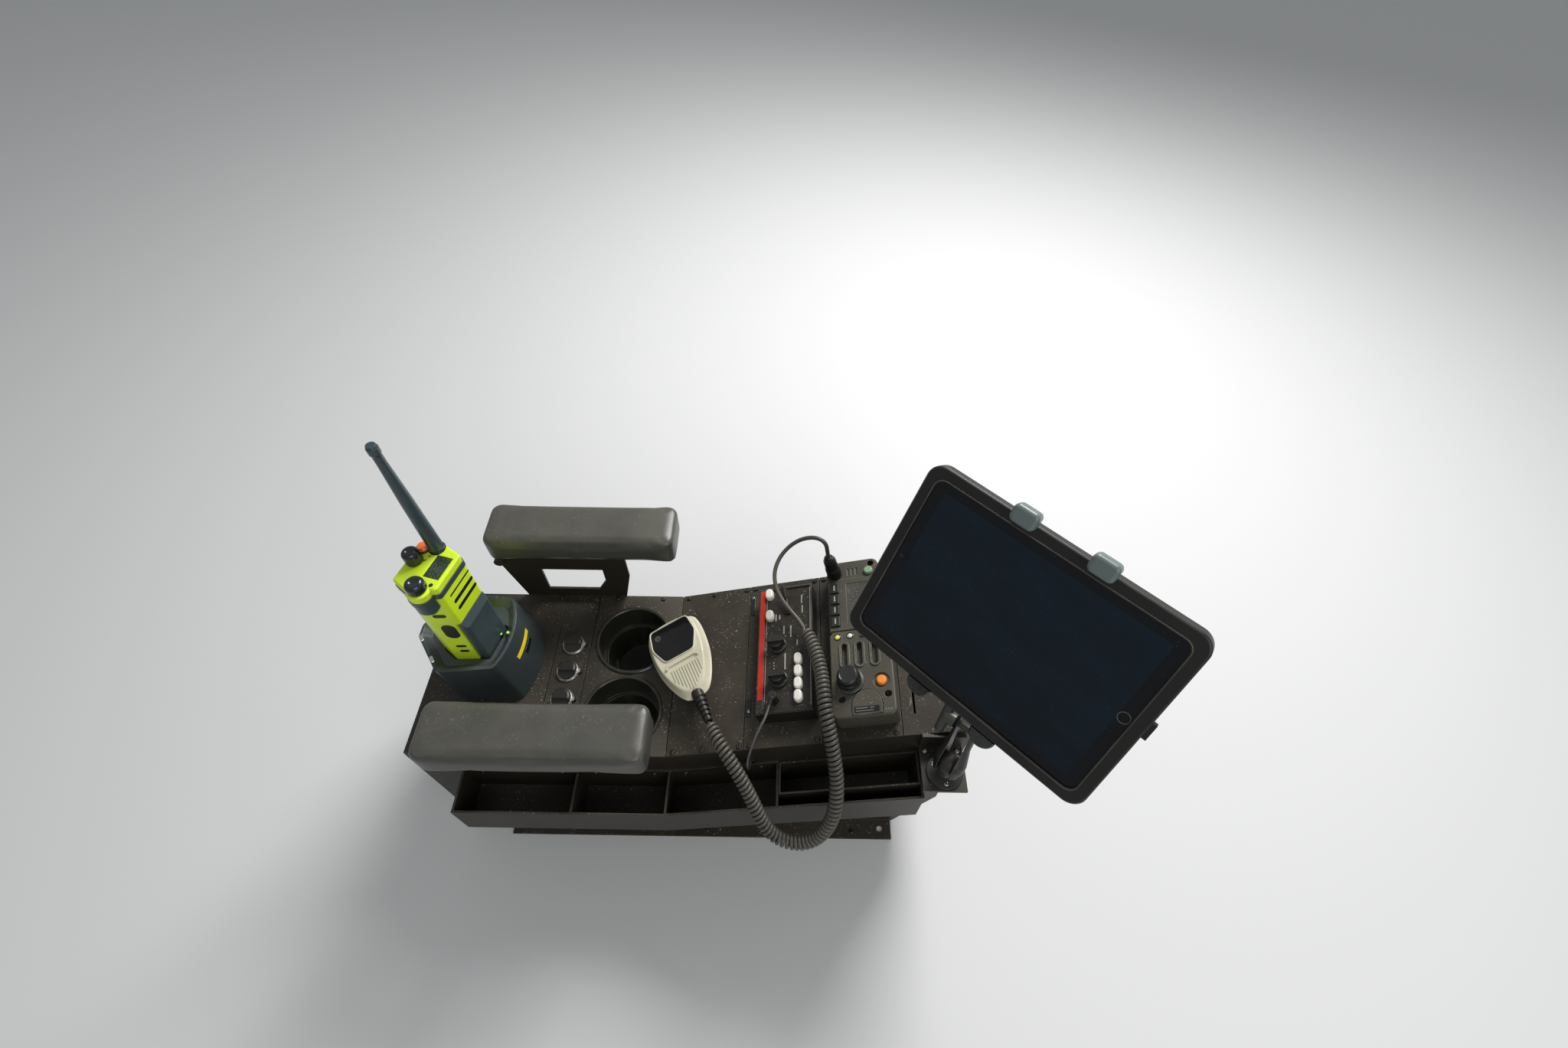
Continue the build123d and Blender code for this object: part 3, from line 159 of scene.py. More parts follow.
def length_of(places):
    """Length of a line of points."""
    return sum((b - a).length for a, b in zip(places, places[1:]))


def walk(places, step):
    """Places and directions at even steps along a line of points."""
    found = [(places[0], (places[1] - places[0]).normalized())]
    due = step
    done = 0.0
    for a, b in zip(places, places[1:]):
        run = (b - a).length
        while run and done + run >= due:
            found.append((a.lerp(b, (due - done) / run), (b - a).normalized()))
            due += step
        done += run
    return found


def helix(points, coil_diameter, wire_diameter, pitch, run_out, per_turn=12):
    """Points of a curly cord's wire, wound round the smooth line of its route.

    Over the run-out at each end the turns open and close in on the line, so the wire leaves along it.
    """
    step = pitch / per_turn
    stops = walk(line_of(points), step)
    radius = (coil_diameter - wire_diameter) / 2
    side = None
    turn = 0.0
    wire = []
    for k, (place, along) in enumerate(stops):
        share = min(1.0, k * step / run_out, (len(stops) - 1 - k) * step / run_out)
        turn += 2 * math.pi / per_turn * share
        side = along.orthogonal() if side is None else side
        side = (side - along * side.dot(along)).normalized()
        out = side * math.cos(turn) + along.cross(side) * math.sin(turn)
        wire.append(place + out * radius * share)
    return wire


# Frames of the devices, as in the part's source


def frame_of(place, x_axis, y_axis):
    """Frame at a place, from its first two axes."""
    z_axis = Vector(x_axis).cross(Vector(y_axis))
    turn = Matrix((x_axis, y_axis, z_axis)).transposed().to_4x4()
    return Matrix.Translation(place) @ turn


def moved(x, y, z=0.0, turn=0.0):
    """Shift in millimetres, then a turn about z in degrees."""
    return Matrix.Translation((x * MM, y * MM, z * MM)) @ Matrix.Rotation(math.radians(turn), 4, "Z")


DECK = moved(KINK_X, 0, DECK_Z) @ Matrix.Rotation(-SLOPE, 4, "Y")
FLAT = moved(0, 0, DECK_Z)
RADIO = moved(-250, 5, 268, -15)
RADIO_LID = RADIO @ moved(0, 0, 182)
MIC = DECK @ moved(22, -0.5, 27, 25.5)
TABLET = frame_of((0.2925, -0.0827, 0.496), (0.720551, -0.693402, 0.0), (0.371543, 0.386091, 0.844328))


# Shader maths


class Tap:
    """One socket of a material's nodes. Sums, differences and products of taps add Math nodes."""

    def __init__(self, tree, socket=None):
        self.tree = tree
        self.socket = socket

    def node(self, kind, settings=None, inputs=None, out=0):
        """Add a node with its settings, and the values or taps of its sockets."""
        made = self.tree.nodes.new(kind)
        for name, value in (settings or {}).items():
            setattr(made, name, value)
        for name, value in (inputs or {}).items():
            if isinstance(value, Tap):
                self.tree.links.new(value.socket, made.inputs[name])
            else:
                made.inputs[name].default_value = value
        return Tap(self.tree, made.outputs[out])

    def math(self, operation, first, second=0.0):
        """One Math node."""
        return self.node("ShaderNodeMath", {"operation": operation}, {0: first, 1: second})

    def __add__(self, other):
        return self.math("ADD", self, other)

    def __radd__(self, other):
        return self.math("ADD", other, self)

    def __sub__(self, other):
        return self.math("SUBTRACT", self, other)

    def __rsub__(self, other):
        return self.math("SUBTRACT", other, self)

    def __mul__(self, other):
        return self.math("MULTIPLY", self, other)

    def __rmul__(self, other):
        return self.math("MULTIPLY", other, self)

    def magnitude(self):
        """This value without its sign."""
        return self.math("ABSOLUTE", self)

    def feed(self, shader, name):
        """Link this value to a shader's socket."""
        self.tree.links.new(self.socket, shader.inputs[name])

    def band(self, low, high):
        """Smooth step of this value from low to high."""
        settings = {"interpolation_type": "SMOOTHSTEP"}
        return self.node("ShaderNodeMapRange", settings, {"Value": self, "From Min": low, "From Max": high})

    def mix(self, first, second):
        """Colour between two, by this value."""
        inputs = {0: self, 6: first if isinstance(first, Tap) else (*first, 1.0),
                  7: second if isinstance(second, Tap) else (*second, 1.0)}
        return self.node("ShaderNodeMix", {"data_type": "RGBA"}, inputs, out=2)


def new_finish(name):
    """Start a finish and keep it by its name; returns a tap and the surface shader."""
    made = bpy.data.materials.new(name)
    made.use_nodes = True
    FINISH[name] = made
    return Tap(made.node_tree), made.node_tree.nodes["Principled BSDF"]


def noise(tap, place, scale, detail=4.0, roughness=0.55):
    """Fractal noise in object space."""
    return tap.node("ShaderNodeTexNoise", None,
                    {"Vector": place, "Scale": scale, "Detail": detail, "Roughness": roughness})


def stretched(tap, place, scale):
    """Object space, scaled along its axes."""
    return tap.node("ShaderNodeMapping", None, {"Vector": place, "Scale": scale})


def axis_of(tap, vector, axis):
    """One number of a vector: 0, 1 or 2 for x, y or z."""
    return tap.node("ShaderNodeSeparateXYZ", None, {0: vector}, out=axis)


DUST = (0.19, 0.155, 0.11)
SPECK = (0.36, 0.33, 0.27)
SCRATCH = (0.24, 0.21, 0.18)


def coated(name, colour, rough, grain, depth, dust=0.5, wear=0.4, edge=0.8, wear_and_highlight_colour=None, metal=0.0,
           specks=0.0, split=None, glow=0.0, shine=0.5):
    """Coated or moulded surface: fine grain, mottling, dust on what faces up, specks, and pale edges, which
    are edge wear and on some finishes also a painted highlight.

    grain is the grain's scale per metre, depth its height and edge the rounding of the edges, in millimetres.
    dust, wear and specks are strengths, and shine is that of reflections. One colour may be given for the
    pale edges: edge wear, and on some finishes a painted highlight too.
    split gives a second colour, the axis and where it starts along it.
    """
    tap, shader = new_finish(name)
    place = tap.node("ShaderNodeTexCoord", out=3)
    rounding = tap.node("ShaderNodeBevel", {"samples": 6}, {"Radius": edge * MM})
    true_normal = tap.node("ShaderNodeNewGeometry", out=1)
    flatness = tap.node("ShaderNodeVectorMath", {"operation": "DOT_PRODUCT"},
                        {0: rounding, 1: true_normal}, out=1)
    upward = axis_of(tap, true_normal, 2)
    patch = noise(tap, place, 22.0, 6.0)
    wear_and_highlight_mask = (1.0 - flatness).band(0.006, 0.09) * patch.band(0.38, 0.62) * wear
    settled = upward.band(0.25, 0.95) * noise(tap, place, 9.0, 8.0, 0.65).band(0.25, 0.75) * dust
    fine = noise(tap, place, grain, 2.0)
    base = patch.mix(tuple(c * 0.72 for c in colour), tuple(min(1.0, c * 1.28) for c in colour))
    if split:
        other, axis, start = split
        base = axis_of(tap, place, axis).band(start - MM, start + MM).mix(base, other)
    base = settled.mix(base, DUST)
    if specks:
        where = noise(tap, place, 30.0, 3.0).band(0.35, 0.7)
        grit = noise(tap, place, 480.0, 1.0).band(0.66, 0.72) * where
        base = (grit * upward.band(0.0, 0.6) * specks).mix(base, SPECK)
        hair = noise(tap, stretched(tap, place, (1.0, 3.5, 1.0)), 16.0, 3.0)
        scratch = (1.0 - (hair - 0.5).magnitude().band(0.0, 0.0035)) * patch.band(0.5, 0.65) * specks
        base = (scratch * upward.band(0.2, 0.8) * 0.3).mix(base, SCRATCH)
    # Pale edges: edge wear, and on the charger also a painted highlight along its rim.
    base = wear_and_highlight_mask.mix(base, wear_and_highlight_colour or tuple(min(1.0, c * 3 + 0.05) for c in colour))
    base.feed(shader, "Base Color")
    (rough + settled * 0.25 + patch * 0.12 - 0.06).feed(shader, "Roughness")
    shader.inputs["Metallic"].default_value = metal
    shader.inputs["Specular IOR Level"].default_value = shine
    if glow:
        base.feed(shader, "Emission Color")
        shader.inputs["Emission Strength"].default_value = glow
    bump = {"Strength": 1.0, "Distance": depth * MM, "Height": fine, "Normal": rounding}
    tap.node("ShaderNodeBump", None, bump).feed(shader, "Normal")


def tablet_screen():
    """Dark display behind glass: a black border, a navy picture area with a painted sheen that grows lighter
    across it, smears and a little dust.
    """
    half_long, half_wide, blur = 0.1080, 0.0744, 0.0002
    border, grime = (0.002, 0.003, 0.005), (0.14, 0.15, 0.15)
    navy, pale_navy = (0.0015, 0.005, 0.010), (0.002, 0.011, 0.021)
    tap, shader = new_finish("screen_glass")
    place = tap.node("ShaderNodeTexCoord", out=3)
    flat = tap.node("ShaderNodeMapping", {"vector_type": "TEXTURE"},
                    {"Vector": place, "Location": TABLET.translation, "Rotation": TABLET.to_euler()})
    along, across = axis_of(tap, flat, 0), axis_of(tap, flat, 1)
    inside = (1.0 - along.magnitude().band(half_long - blur, half_long + blur)) * (
        1.0 - across.magnitude().band(half_wide - blur, half_wide + blur))
    smear = noise(tap, stretched(tap, flat, (1.0, 2.2, 1.0)), 14.0, 6.0, 0.6)
    # Painted sheen: the picture area grows lighter across the screen and along the smears, standing in for a
    # reflection on the glass.
    painted_sheen = (across * 5.0 + 0.5).band(0.0, 1.0) * 0.5 + smear.band(0.35, 0.7) * 0.5
    dust = noise(tap, place, 900.0, 1.0).band(0.70, 0.78) * smear.band(0.4, 0.6)
    base = inside.mix(border, painted_sheen.mix(navy, pale_navy))
    (dust * 0.35).mix(base, grime).feed(shader, "Base Color")
    (smear.band(0.4, 0.8) * 0.10 + dust * 0.3 + 0.05).feed(shader, "Roughness")
    shader.inputs["Specular IOR Level"].default_value = 0.3


def lit_display(name, back, ink, cell, glow):
    """Small display: a tinted ground with faint rows of blocks, one cell high, in metres."""
    dusty = (0.30, 0.33, 0.28)
    tap, shader = new_finish(name)
    place = tap.node("ShaderNodeTexCoord", out=3)
    aslant = tap.node("ShaderNodeMapping", None, {"Vector": place, "Rotation": (0.0, 0.0, 0.6)})
    rows = tap.node("ShaderNodeTexBrick", {"offset": 0.5},
                    {"Vector": aslant, "Scale": 1.0, "Mortar Size": cell * 0.32, "Brick Width": cell * 1.6,
                     "Row Height": cell}, out=1)
    cloud = noise(tap, place, 60.0, 5.0, 0.6)
    ground = cloud.mix(tuple(c * 0.6 for c in back), back)
    base = ((1.0 - rows) * cloud.band(0.5, 0.6) * 0.5).mix(ground, ink)
    base = (noise(tap, place, 800.0, 1.0).band(0.6, 0.7) * 0.35).mix(base, dusty)
    base.feed(shader, "Base Color")
    base.feed(shader, "Emission Color")
    shader.inputs["Emission Strength"].default_value = glow
    (cloud * 0.15 + 0.08).feed(shader, "Roughness")


# Finishes of the material slots, then of single nodes and details. The numbers after the colour are
# roughness, grain, depth, dust, wear and edge.
coated("coated_steel", (0.022, 0.0180, 0.0125), 0.46, 900.0, 0.12, 0.17, 0.6, specks=0.8, shine=0.35)
coated("cup_plastic", (0.024, 0.024, 0.017), 0.18, 500.0, 0.02, 0.10, 0.08, 1.5)
coated("bright_ring", (0.72, 0.70, 0.64), 0.36, 300.0, 0.01, 0.10, 0.0, 0.4,
       metal=1.0, split=((0.045, 0.040, 0.034), 0, -0.1475))
coated("black_plastic", (0.010, 0.010, 0.010), 0.36, 800.0, 0.05, 0.12, 0.5, shine=0.35)
coated("safety_yellow", (0.60, 0.86, 0.02), 0.34, 700.0, 0.03, 0.04, 0.25, 1.2, wear_and_highlight_colour=(0.80, 0.92, 0.40))
coated("orange_button", (0.75, 0.14, 0.02), 0.3, 500.0, 0.02, 0.1, 0.2)
coated("antenna_rubber", (0.032, 0.050, 0.058), 0.28, 900.0, 0.04, 0.12, 0.2)
coated("mic_cream", (0.54, 0.51, 0.375), 0.30, 700.0, 0.03, 0.10, 0.35, 1.4, wear_and_highlight_colour=(0.72, 0.70, 0.60))
coated("mic_face", (0.004, 0.004, 0.005), 0.08, 200.0, 0.005, 0.04, 0.3, 0.8,
       wear_and_highlight_colour=(0.12, 0.11, 0.10), shine=0.4)
coated("steel_pin", (0.55, 0.54, 0.52), 0.3, 400.0, 0.01, 0.1, 0.0, metal=1.0)
coated("cord_jacket", (0.060, 0.056, 0.047), 0.38, 1200.0, 0.03, 0.35, 0.0, 0.2, shine=0.45)
coated("controller_case", (0.010, 0.0085, 0.0065), 0.34, 1000.0, 0.05, 0.14, 0.8, specks=0.8, shine=0.35)
coated("red_stripe", (0.42, 0.018, 0.008), 0.45, 600.0, 0.02, 0.05, 0.2, 0.3, shine=0.25)
coated("white_buttons", (0.70, 0.67, 0.60), 0.3, 500.0, 0.01, 0.1, 0.1, 0.6)
coated("head_casting", (0.050, 0.047, 0.034), 0.40, 900.0, 0.06, 0.22, 0.75, 1.0, specks=0.5, shine=0.35)
tablet_screen()
coated("armrest_foam", (0.055, 0.055, 0.047), 0.34, 700.0, 0.10, 0.18, 0.6, 2.0, specks=0.25)
coated("tablet_case", (0.009, 0.0085, 0.0075), 0.40, 900.0, 0.05, 0.05, 1.0, 1.8,
       wear_and_highlight_colour=(0.070, 0.062, 0.052), shine=0.4)
coated("mount_casting", (0.012, 0.012, 0.011), 0.40, 700.0, 0.08, 0.2, 0.7, 1.2, shine=0.4)
coated("claw_rubber", (0.016, 0.018, 0.016), 0.30, 500.0, 0.03, 0.1, 1.0, 0.5,
       wear_and_highlight_colour=(0.17, 0.19, 0.18), split=((0.12, 0.155, 0.15), 2, 0.5))
coated("dark_screw", (0.045, 0.042, 0.038), 0.30, 600.0, 0.01, 0.2, 0.9, 0.3,
       metal=0.8, wear_and_highlight_colour=(0.45, 0.43, 0.40))
coated("bright_screw", (0.66, 0.65, 0.62), 0.22, 500.0, 0.01, 0.05, 0.0, 0.3, metal=1.0)
# Pale print; the controller's far rim line uses it as a painted highlight.
coated("pale_print_and_highlight", (0.30, 0.30, 0.27), 0.5, 500.0, 0.01, 0.1, 0.0, 0.1)
coated("label_faint", (0.11, 0.11, 0.098), 0.5, 500.0, 0.01, 0.1, 0.0, 0.1)
coated("label_yellow", (0.95, 0.62, 0.02), 0.4, 400.0, 0.01, 0.02, 0.1, 0.2, shine=0.2)
coated("lamp_yellow", (0.60, 0.52, 0.04), 0.15, 300.0, 0.01, 0.0, 0.0, 0.3, glow=0.25)
coated("lamp_white", (0.60, 0.56, 0.48), 0.15, 300.0, 0.01, 0.0, 0.0, 0.3, glow=0.12)
coated("lamp_grey", (0.10, 0.10, 0.09), 0.15, 300.0, 0.01, 0.0, 0.0, 0.3)
coated("lamp_green", (0.35, 0.75, 0.05), 0.2, 300.0, 0.01, 0.0, 0.0, 0.3, glow=0.5)
coated("lcd_frame", (0.030, 0.029, 0.026), 0.3, 600.0, 0.02, 0.3, 0.5, 0.5)
coated("glossy_black", (0.008, 0.008, 0.009), 0.12, 300.0, 0.01, 0.05, 0.2, 0.5)
# Tablet case lip: lighter than the case and with pale edges, a painted highlight along the lip.
coated("case_lip", (0.040, 0.035, 0.029), 0.4, 900.0, 0.04, 0.2, 0.9, 0.8, wear_and_highlight_colour=(0.14, 0.12, 0.095))
coated("two_buttons", (0.82, 0.23, 0.02), 0.3, 500.0, 0.02, 0.1, 0.2,
       split=((0.20, 0.34, 0.20), 1, 0.02), glow=0.03)
lit_display("head_display", (0.075, 0.068, 0.056), (0.16, 0.145, 0.12), 0.0028, 0.06)
lit_display("radio_display", (0.028, 0.045, 0.026), (0.13, 0.17, 0.10), 0.0016, 0.03)
# Charger: the pale bluish colour of its edges is edge wear and also a painted highlight along the rim.
coated("charger_plastic", (0.034, 0.046, 0.048), 0.32, 1400.0, 0.10, 0.15, 0.6, 0.9,
       wear_and_highlight_colour=(0.20, 0.24, 0.26), specks=0.4)
coated("battery_plastic", (0.042, 0.061, 0.068), 0.28, 1400.0, 0.08, 0.15, 0.7, 1.4,
       wear_and_highlight_colour=(0.16, 0.21, 0.24), specks=0.6)
# Pale trim for the badge and home key rings, also used as the painted highlight on the head's knob skirt and
# slot rims.
coated("pale_trim_and_highlight", (0.110, 0.108, 0.092), 0.28, 600.0, 0.02, 0.1, 0.3, 0.4)
# Darker than the cream: painted shade for the microphone's grooves.
coated("mic_groove", (0.20, 0.185, 0.125), 0.6, 600.0, 0.02, 0.1, 0.0, 0.2)
coated("lead_jacket", (0.085, 0.085, 0.082), 0.22, 900.0, 0.01, 0.1, 0.0, 0.2, shine=0.8)
coated("glossy_knob", (0.012, 0.018, 0.020), 0.16, 500.0, 0.02, 0.05, 0.3, 1.0)
coated("lever", (0.040, 0.046, 0.034), 0.32, 600.0, 0.04, 0.15, 0.6, 1.0)

# Nodes that differ from the finish of their slot
NODE_FINISH = {
    "head_screen": "head_display", "portable_display": "radio_display", "head_buttons": "two_buttons",
    "charger": "charger_plastic", "portable_battery": "battery_plastic", "portable_knobs": "glossy_knob",
    "portable_band": "battery_plastic", "mount_knob": "lever"}


def dress_nodes():
    """Give every node of the part the finish of its material slot, or its own."""
    for part in frame["record"]["subparts"]:
        node = NODES[part["node"]]
        finish = FINISH[NODE_FINISH.get(part["node"], part["material_slot"])]
        if not node.material_slots:
            node.data.materials.append(finish)
        for place in node.material_slots:
            place.material = finish


dress_nodes()


# Outlines in millimetres


def circle(steps):
    """Unit circle's points."""
    return [(math.cos(2 * math.pi * k / steps), math.sin(2 * math.pi * k / steps)) for k in range(steps)]


def rounded(width, height, corner, steps=3):
    """Outline of a rectangle with round corners, anticlockwise."""
    corner = min(corner, width / 2 - 0.01, height / 2 - 0.01)
    points = []
    for k, (sx, sy) in enumerate(((1, 1), (-1, 1), (-1, -1), (1, -1))):
        for step in range(steps + 1):
            turn = math.pi / 2 * (k + step / steps)
            points.append((sx * (width / 2 - corner) + corner * math.cos(turn),
                           sy * (height / 2 - corner) + corner * math.sin(turn)))
    return points


def softened(points, corner, steps=4):
    """Outline with each corner rounded by a short curve, or wholly smooth if the corner is large."""
    path = []
    for k, here in enumerate(points):
        here = Vector(here)
        before, after = (Vector(points[j % len(points)]) - here for j in (k - 1, k + 1))
        start = here + before.normalized() * min(corner, before.length / 2)
        end = here + after.normalized() * min(corner, after.length / 2)
        for step in range(steps + 1):
            t = step / steps
            path.append(start * (1 - t) ** 2 + here * 2 * t * (1 - t) + end * t * t)
    return [tuple(p) for p, after in zip(path, path[1:] + path[:1]) if (p - after).length > 0.001]


def mirrored(half):
    """Outline from its right half, from the top down; the left half runs back up."""
    return half + [(-x, y) for x, y in half[::-1]]


def scaled(outline, centre, scale):
    """Outline made larger or smaller about a point."""
    return [(centre[0] + (x - centre[0]) * scale, centre[1] + (y - centre[1]) * scale) for x, y in outline]


def level(outline, z):
    """Outline's points, all at one height."""
    return [(x, y, z) for x, y in outline]


# Solids for small details


class Solids:
    """Closed small solids gathered into one piece, each given in millimetres in its own frame."""

    def __init__(self):
        self.mesh = bmesh.new()

    def skin(self, at, rings, loop=False):
        """Skin between rings of points; the ends are closed, or joined in a loop."""
        rows = []
        for ring in rings:
            rows.append([self.mesh.verts.new(at @ (Vector(p) * MM)) for p in ring])
        for low, high in zip(rows, rows[1:] + rows[:1] if loop else rows[1:]):
            for k in range(len(low)):
                j = (k + 1) % len(low)
                self.mesh.faces.new((low[k], low[j], high[j], high[k]))
        if not loop:
            self.mesh.faces.new(rows[0][::-1])
            self.mesh.faces.new(rows[-1])

    def plate(self, at, size, low, high, corner=0.5, bevel=0.2):
        """Rounded rectangular plate between two heights, with a bevelled upper edge."""
        ring = rounded(size[0], size[1], corner)
        inner = rounded(size[0] - 2 * bevel, size[1] - 2 * bevel, max(corner - bevel, 0.02))
        self.skin(at, [level(ring, low), level(ring, high - bevel), level(inner, high)])

    def strip(self, at, path, width, low, high, loop=False):
        """Band along a flat path, between two heights."""
        rings = []
        count = len(path)
        for k, (x, y) in enumerate(path):
            before = path[k - 1] if loop or k else path[0]
            after = path[(k + 1) % count] if loop or k < count - 1 else path[-1]
            aside = Vector((before[1] - after[1], after[0] - before[0])).normalized() * width / 2
            rings.append([(x - aside.x, y - aside.y, low), (x + aside.x, y + aside.y, low),
                          (x + aside.x, y + aside.y, high), (x - aside.x, y - aside.y, high)])
        self.skin(at, rings, loop)

    def lathe(self, at, profile, steps=24):
        """Turned form round z from pairs of radius and height; a radius is never zero."""
        self.skin(at, [[(radius * x, radius * y, z) for x, y in circle(steps)] for radius, z in profile])

    def plain(self, name):
        """The solids as one mesh, with their faces turned outwards."""
        bmesh.ops.recalc_face_normals(self.mesh, faces=self.mesh.faces)
        data = bpy.data.meshes.new(name)
        self.mesh.to_mesh(data)
        self.mesh.free()
        return data

    def done(self, name, body, slot, finish, smooth=None):
        """Finish the piece and put it on its body; slot is not used."""
        return place_piece(mesh_object(name, self.plain(name), finish), body, smooth)


def place_piece(piece, body, smooth=None):
    """Shade a piece and put it on its body; edges sharper than smooth, in degrees, stay."""
    if smooth is not None:
        piece.data.polygons.foreach_set("use_smooth", [True] * len(piece.data.polygons))
        piece.data.set_sharp_from_angle(angle=math.radians(smooth))
    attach(piece, body)
    return piece


def face_screw(radius, height, recess, steps=24):
    """Domed screw head with a six-sided recess, standing on z = 0; sizes in millimetres."""
    dome = ((radius, -0.2), (radius, height * 0.25), (radius * 0.86, height * 0.7), (radius * 0.62, height))
    rings = [[(r * x, r * y, z) for x, y in circle(steps)] for r, z in dome]
    flat = radius * 0.36
    for z in (height, height - recess):
        ring = []
        for k in range(steps):
            turn = 2 * math.pi * k / steps
            r = flat / math.cos(turn % (math.pi / 3) - math.pi / 6)
            ring.append((r * math.cos(turn), r * math.sin(turn), z))
        rings.append(ring)
    made = Solids()
    made.skin(Matrix.Identity(4), rings)
    return made.plain("screw_head")


# Repeated pieces by Geometry Nodes


def repeat_tree(name, finish):
    """Node tree that puts one shape at every point, turned to its direction, then makes it plain."""
    tree = bpy.data.node_groups.new(name, "GeometryNodeTree")
    for label, kind in (("Points", "Geometry"), ("Shape", "Object"), ("Size", "Float")):
        tree.interface.new_socket(label, in_out="INPUT", socket_type="NodeSocket" + kind)
    tree.interface.new_socket("Result", in_out="OUTPUT", socket_type="NodeSocketGeometry")
    add = tree.nodes.new
    given, result = add("NodeGroupInput"), add("NodeGroupOutput")
    shape, spread = add("GeometryNodeObjectInfo"), add("GeometryNodeInstanceOnPoints")
    real, paint = add("GeometryNodeRealizeInstances"), add("GeometryNodeSetMaterial")
    aim, spin = add("FunctionNodeAlignRotationToVector"), add("FunctionNodeAxisAngleToRotation")
    about, turn = add("GeometryNodeInputNamedAttribute"), add("GeometryNodeInputNamedAttribute")
    about.data_type = "FLOAT_VECTOR"
    about.inputs["Name"].default_value = "direction"
    turn.data_type = "FLOAT"
    turn.inputs["Name"].default_value = "turn"
    aim.axis = "Z"
    paint.inputs["Material"].default_value = FINISH[finish]
    wire = tree.links.new
    wire(given.outputs["Points"], spread.inputs["Points"])
    wire(given.outputs["Shape"], shape.inputs["Object"])
    wire(shape.outputs["Geometry"], spread.inputs["Instance"])
    wire(given.outputs["Size"], spread.inputs["Scale"])
    wire(turn.outputs["Attribute"], spin.inputs["Angle"])
    wire(spin.outputs["Rotation"], aim.inputs["Rotation"])
    wire(about.outputs["Attribute"], aim.inputs["Vector"])
    wire(aim.outputs["Rotation"], spread.inputs["Rotation"])
    wire(spread.outputs["Instances"], real.inputs["Geometry"])
    wire(real.outputs["Geometry"], paint.inputs["Geometry"])
    wire(paint.outputs["Geometry"], result.inputs["Result"])
    return tree


def repeat(name, body, shape, places, finish, size=1.0, smooth=35):
    """One plain piece of a shape set at places, each a position, a direction and a turn in degrees."""
    points = bpy.data.meshes.new(name + "_points")
    points.from_pydata([tuple(place) for place, _, _ in places], [], [])
    points.attributes.new("direction", "FLOAT_VECTOR", "POINT")
    points.attributes.new("turn", "FLOAT", "POINT")
    for k, (_, direction, turn) in enumerate(places):
        points.attributes["direction"].data[k].vector = direction
        points.attributes["turn"].data[k].value = math.radians(turn)
    holder = link(bpy.data.objects.new(name + "_points", points))
    source = link(bpy.data.objects.new(name + "_shape", shape))
    tree = repeat_tree(name, finish)
    layer = holder.modifiers.new("repeat", "NODES")
    layer.node_group = tree
    sockets = {item.name: item.identifier for item in tree.interface.items_tree if item.in_out == "INPUT"}
    layer[sockets["Shape"]] = source
    layer[sockets["Size"]] = size
    depsgraph = bpy.context.evaluated_depsgraph_get()
    data = bpy.data.meshes.new_from_object(holder.evaluated_get(depsgraph))
    data.name = name
    holder.modifiers.remove(layer)
    for used in (holder, source):
        bpy.data.objects.remove(used)
    return place_piece(mesh_object(name, data, finish), body, smooth)


def spots_on(at, spots):
    """Places for repeat() on a frame's own z, from points in millimetres; each is turned 17 degrees on."""
    up = (at.to_3x3() @ Vector((0, 0, 1))).normalized()
    return [(at @ (Vector(spot) * MM), up, 17.0 * k) for k, spot in enumerate(spots)]


# Armrest pads: soft skin foam, swollen a little from a slightly smaller block; sizes in metres
PAD_INSET = 0.0012
PAD_SWELL = 0.0016
PAD_VOXEL = 0.004
CLOTH_STEPS = 20


def pad_mesh(node):
    """Closed, evenly divided copy of a pad's solid, drawn in by the inset, and the solid's own box."""
    low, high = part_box(node)
    centre = (low + high) / 2
    half = (high - low) / 2
    data = NODES[node].data.copy()
    mesh = bmesh.new()
    mesh.from_mesh(data)
    bmesh.ops.remove_doubles(mesh, verts=mesh.verts, dist=0.00002)
    for vert in mesh.verts:
        for k in range(3):
            away = vert.co[k] - centre[k]
            vert.co[k] = centre[k] + away * (half[k] - PAD_INSET) / half[k]
    mesh.to_mesh(data)
    mesh.free()
    holder = link(bpy.data.objects.new(node + "_blank", data))
    remesh = holder.modifiers.new("remesh", "REMESH")
    remesh.mode = "VOXEL"
    remesh.voxel_size = PAD_VOXEL
    even = bpy.data.meshes.new_from_object(holder.evaluated_get(bpy.context.evaluated_depsgraph_get()))
    bpy.data.objects.remove(holder)
    return even, low, high


def swell(data):
    """Blow a closed mesh up a little as cloth; no point moves further than the cap."""
    rest = [v.co.copy() for v in data.vertices]
    holder = link(bpy.data.objects.new("swelling", data))
    cloth = holder.modifiers.new("cloth", "CLOTH")
    cloth.settings.use_pressure = True
    cloth.settings.uniform_pressure_force = 4.0
    cloth.settings.tension_stiffness = 25.0
    cloth.settings.compression_stiffness = 25.0
    cloth.settings.effector_weights.gravity = 0.0
    scene = bpy.context.scene
    for step in range(1, CLOTH_STEPS + 1):
        scene.frame_set(step)
    swollen = bpy.data.meshes.new_from_object(holder.evaluated_get(bpy.context.evaluated_depsgraph_get()))
    holder.modifiers.remove(cloth)
    bpy.data.objects.remove(holder)
    for vert, start in zip(swollen.vertices, rest):
        away = vert.co - start
        if away.length > PAD_SWELL:
            vert.co = start + away.normalized() * PAD_SWELL
    scene.frame_set(1)
    return swollen


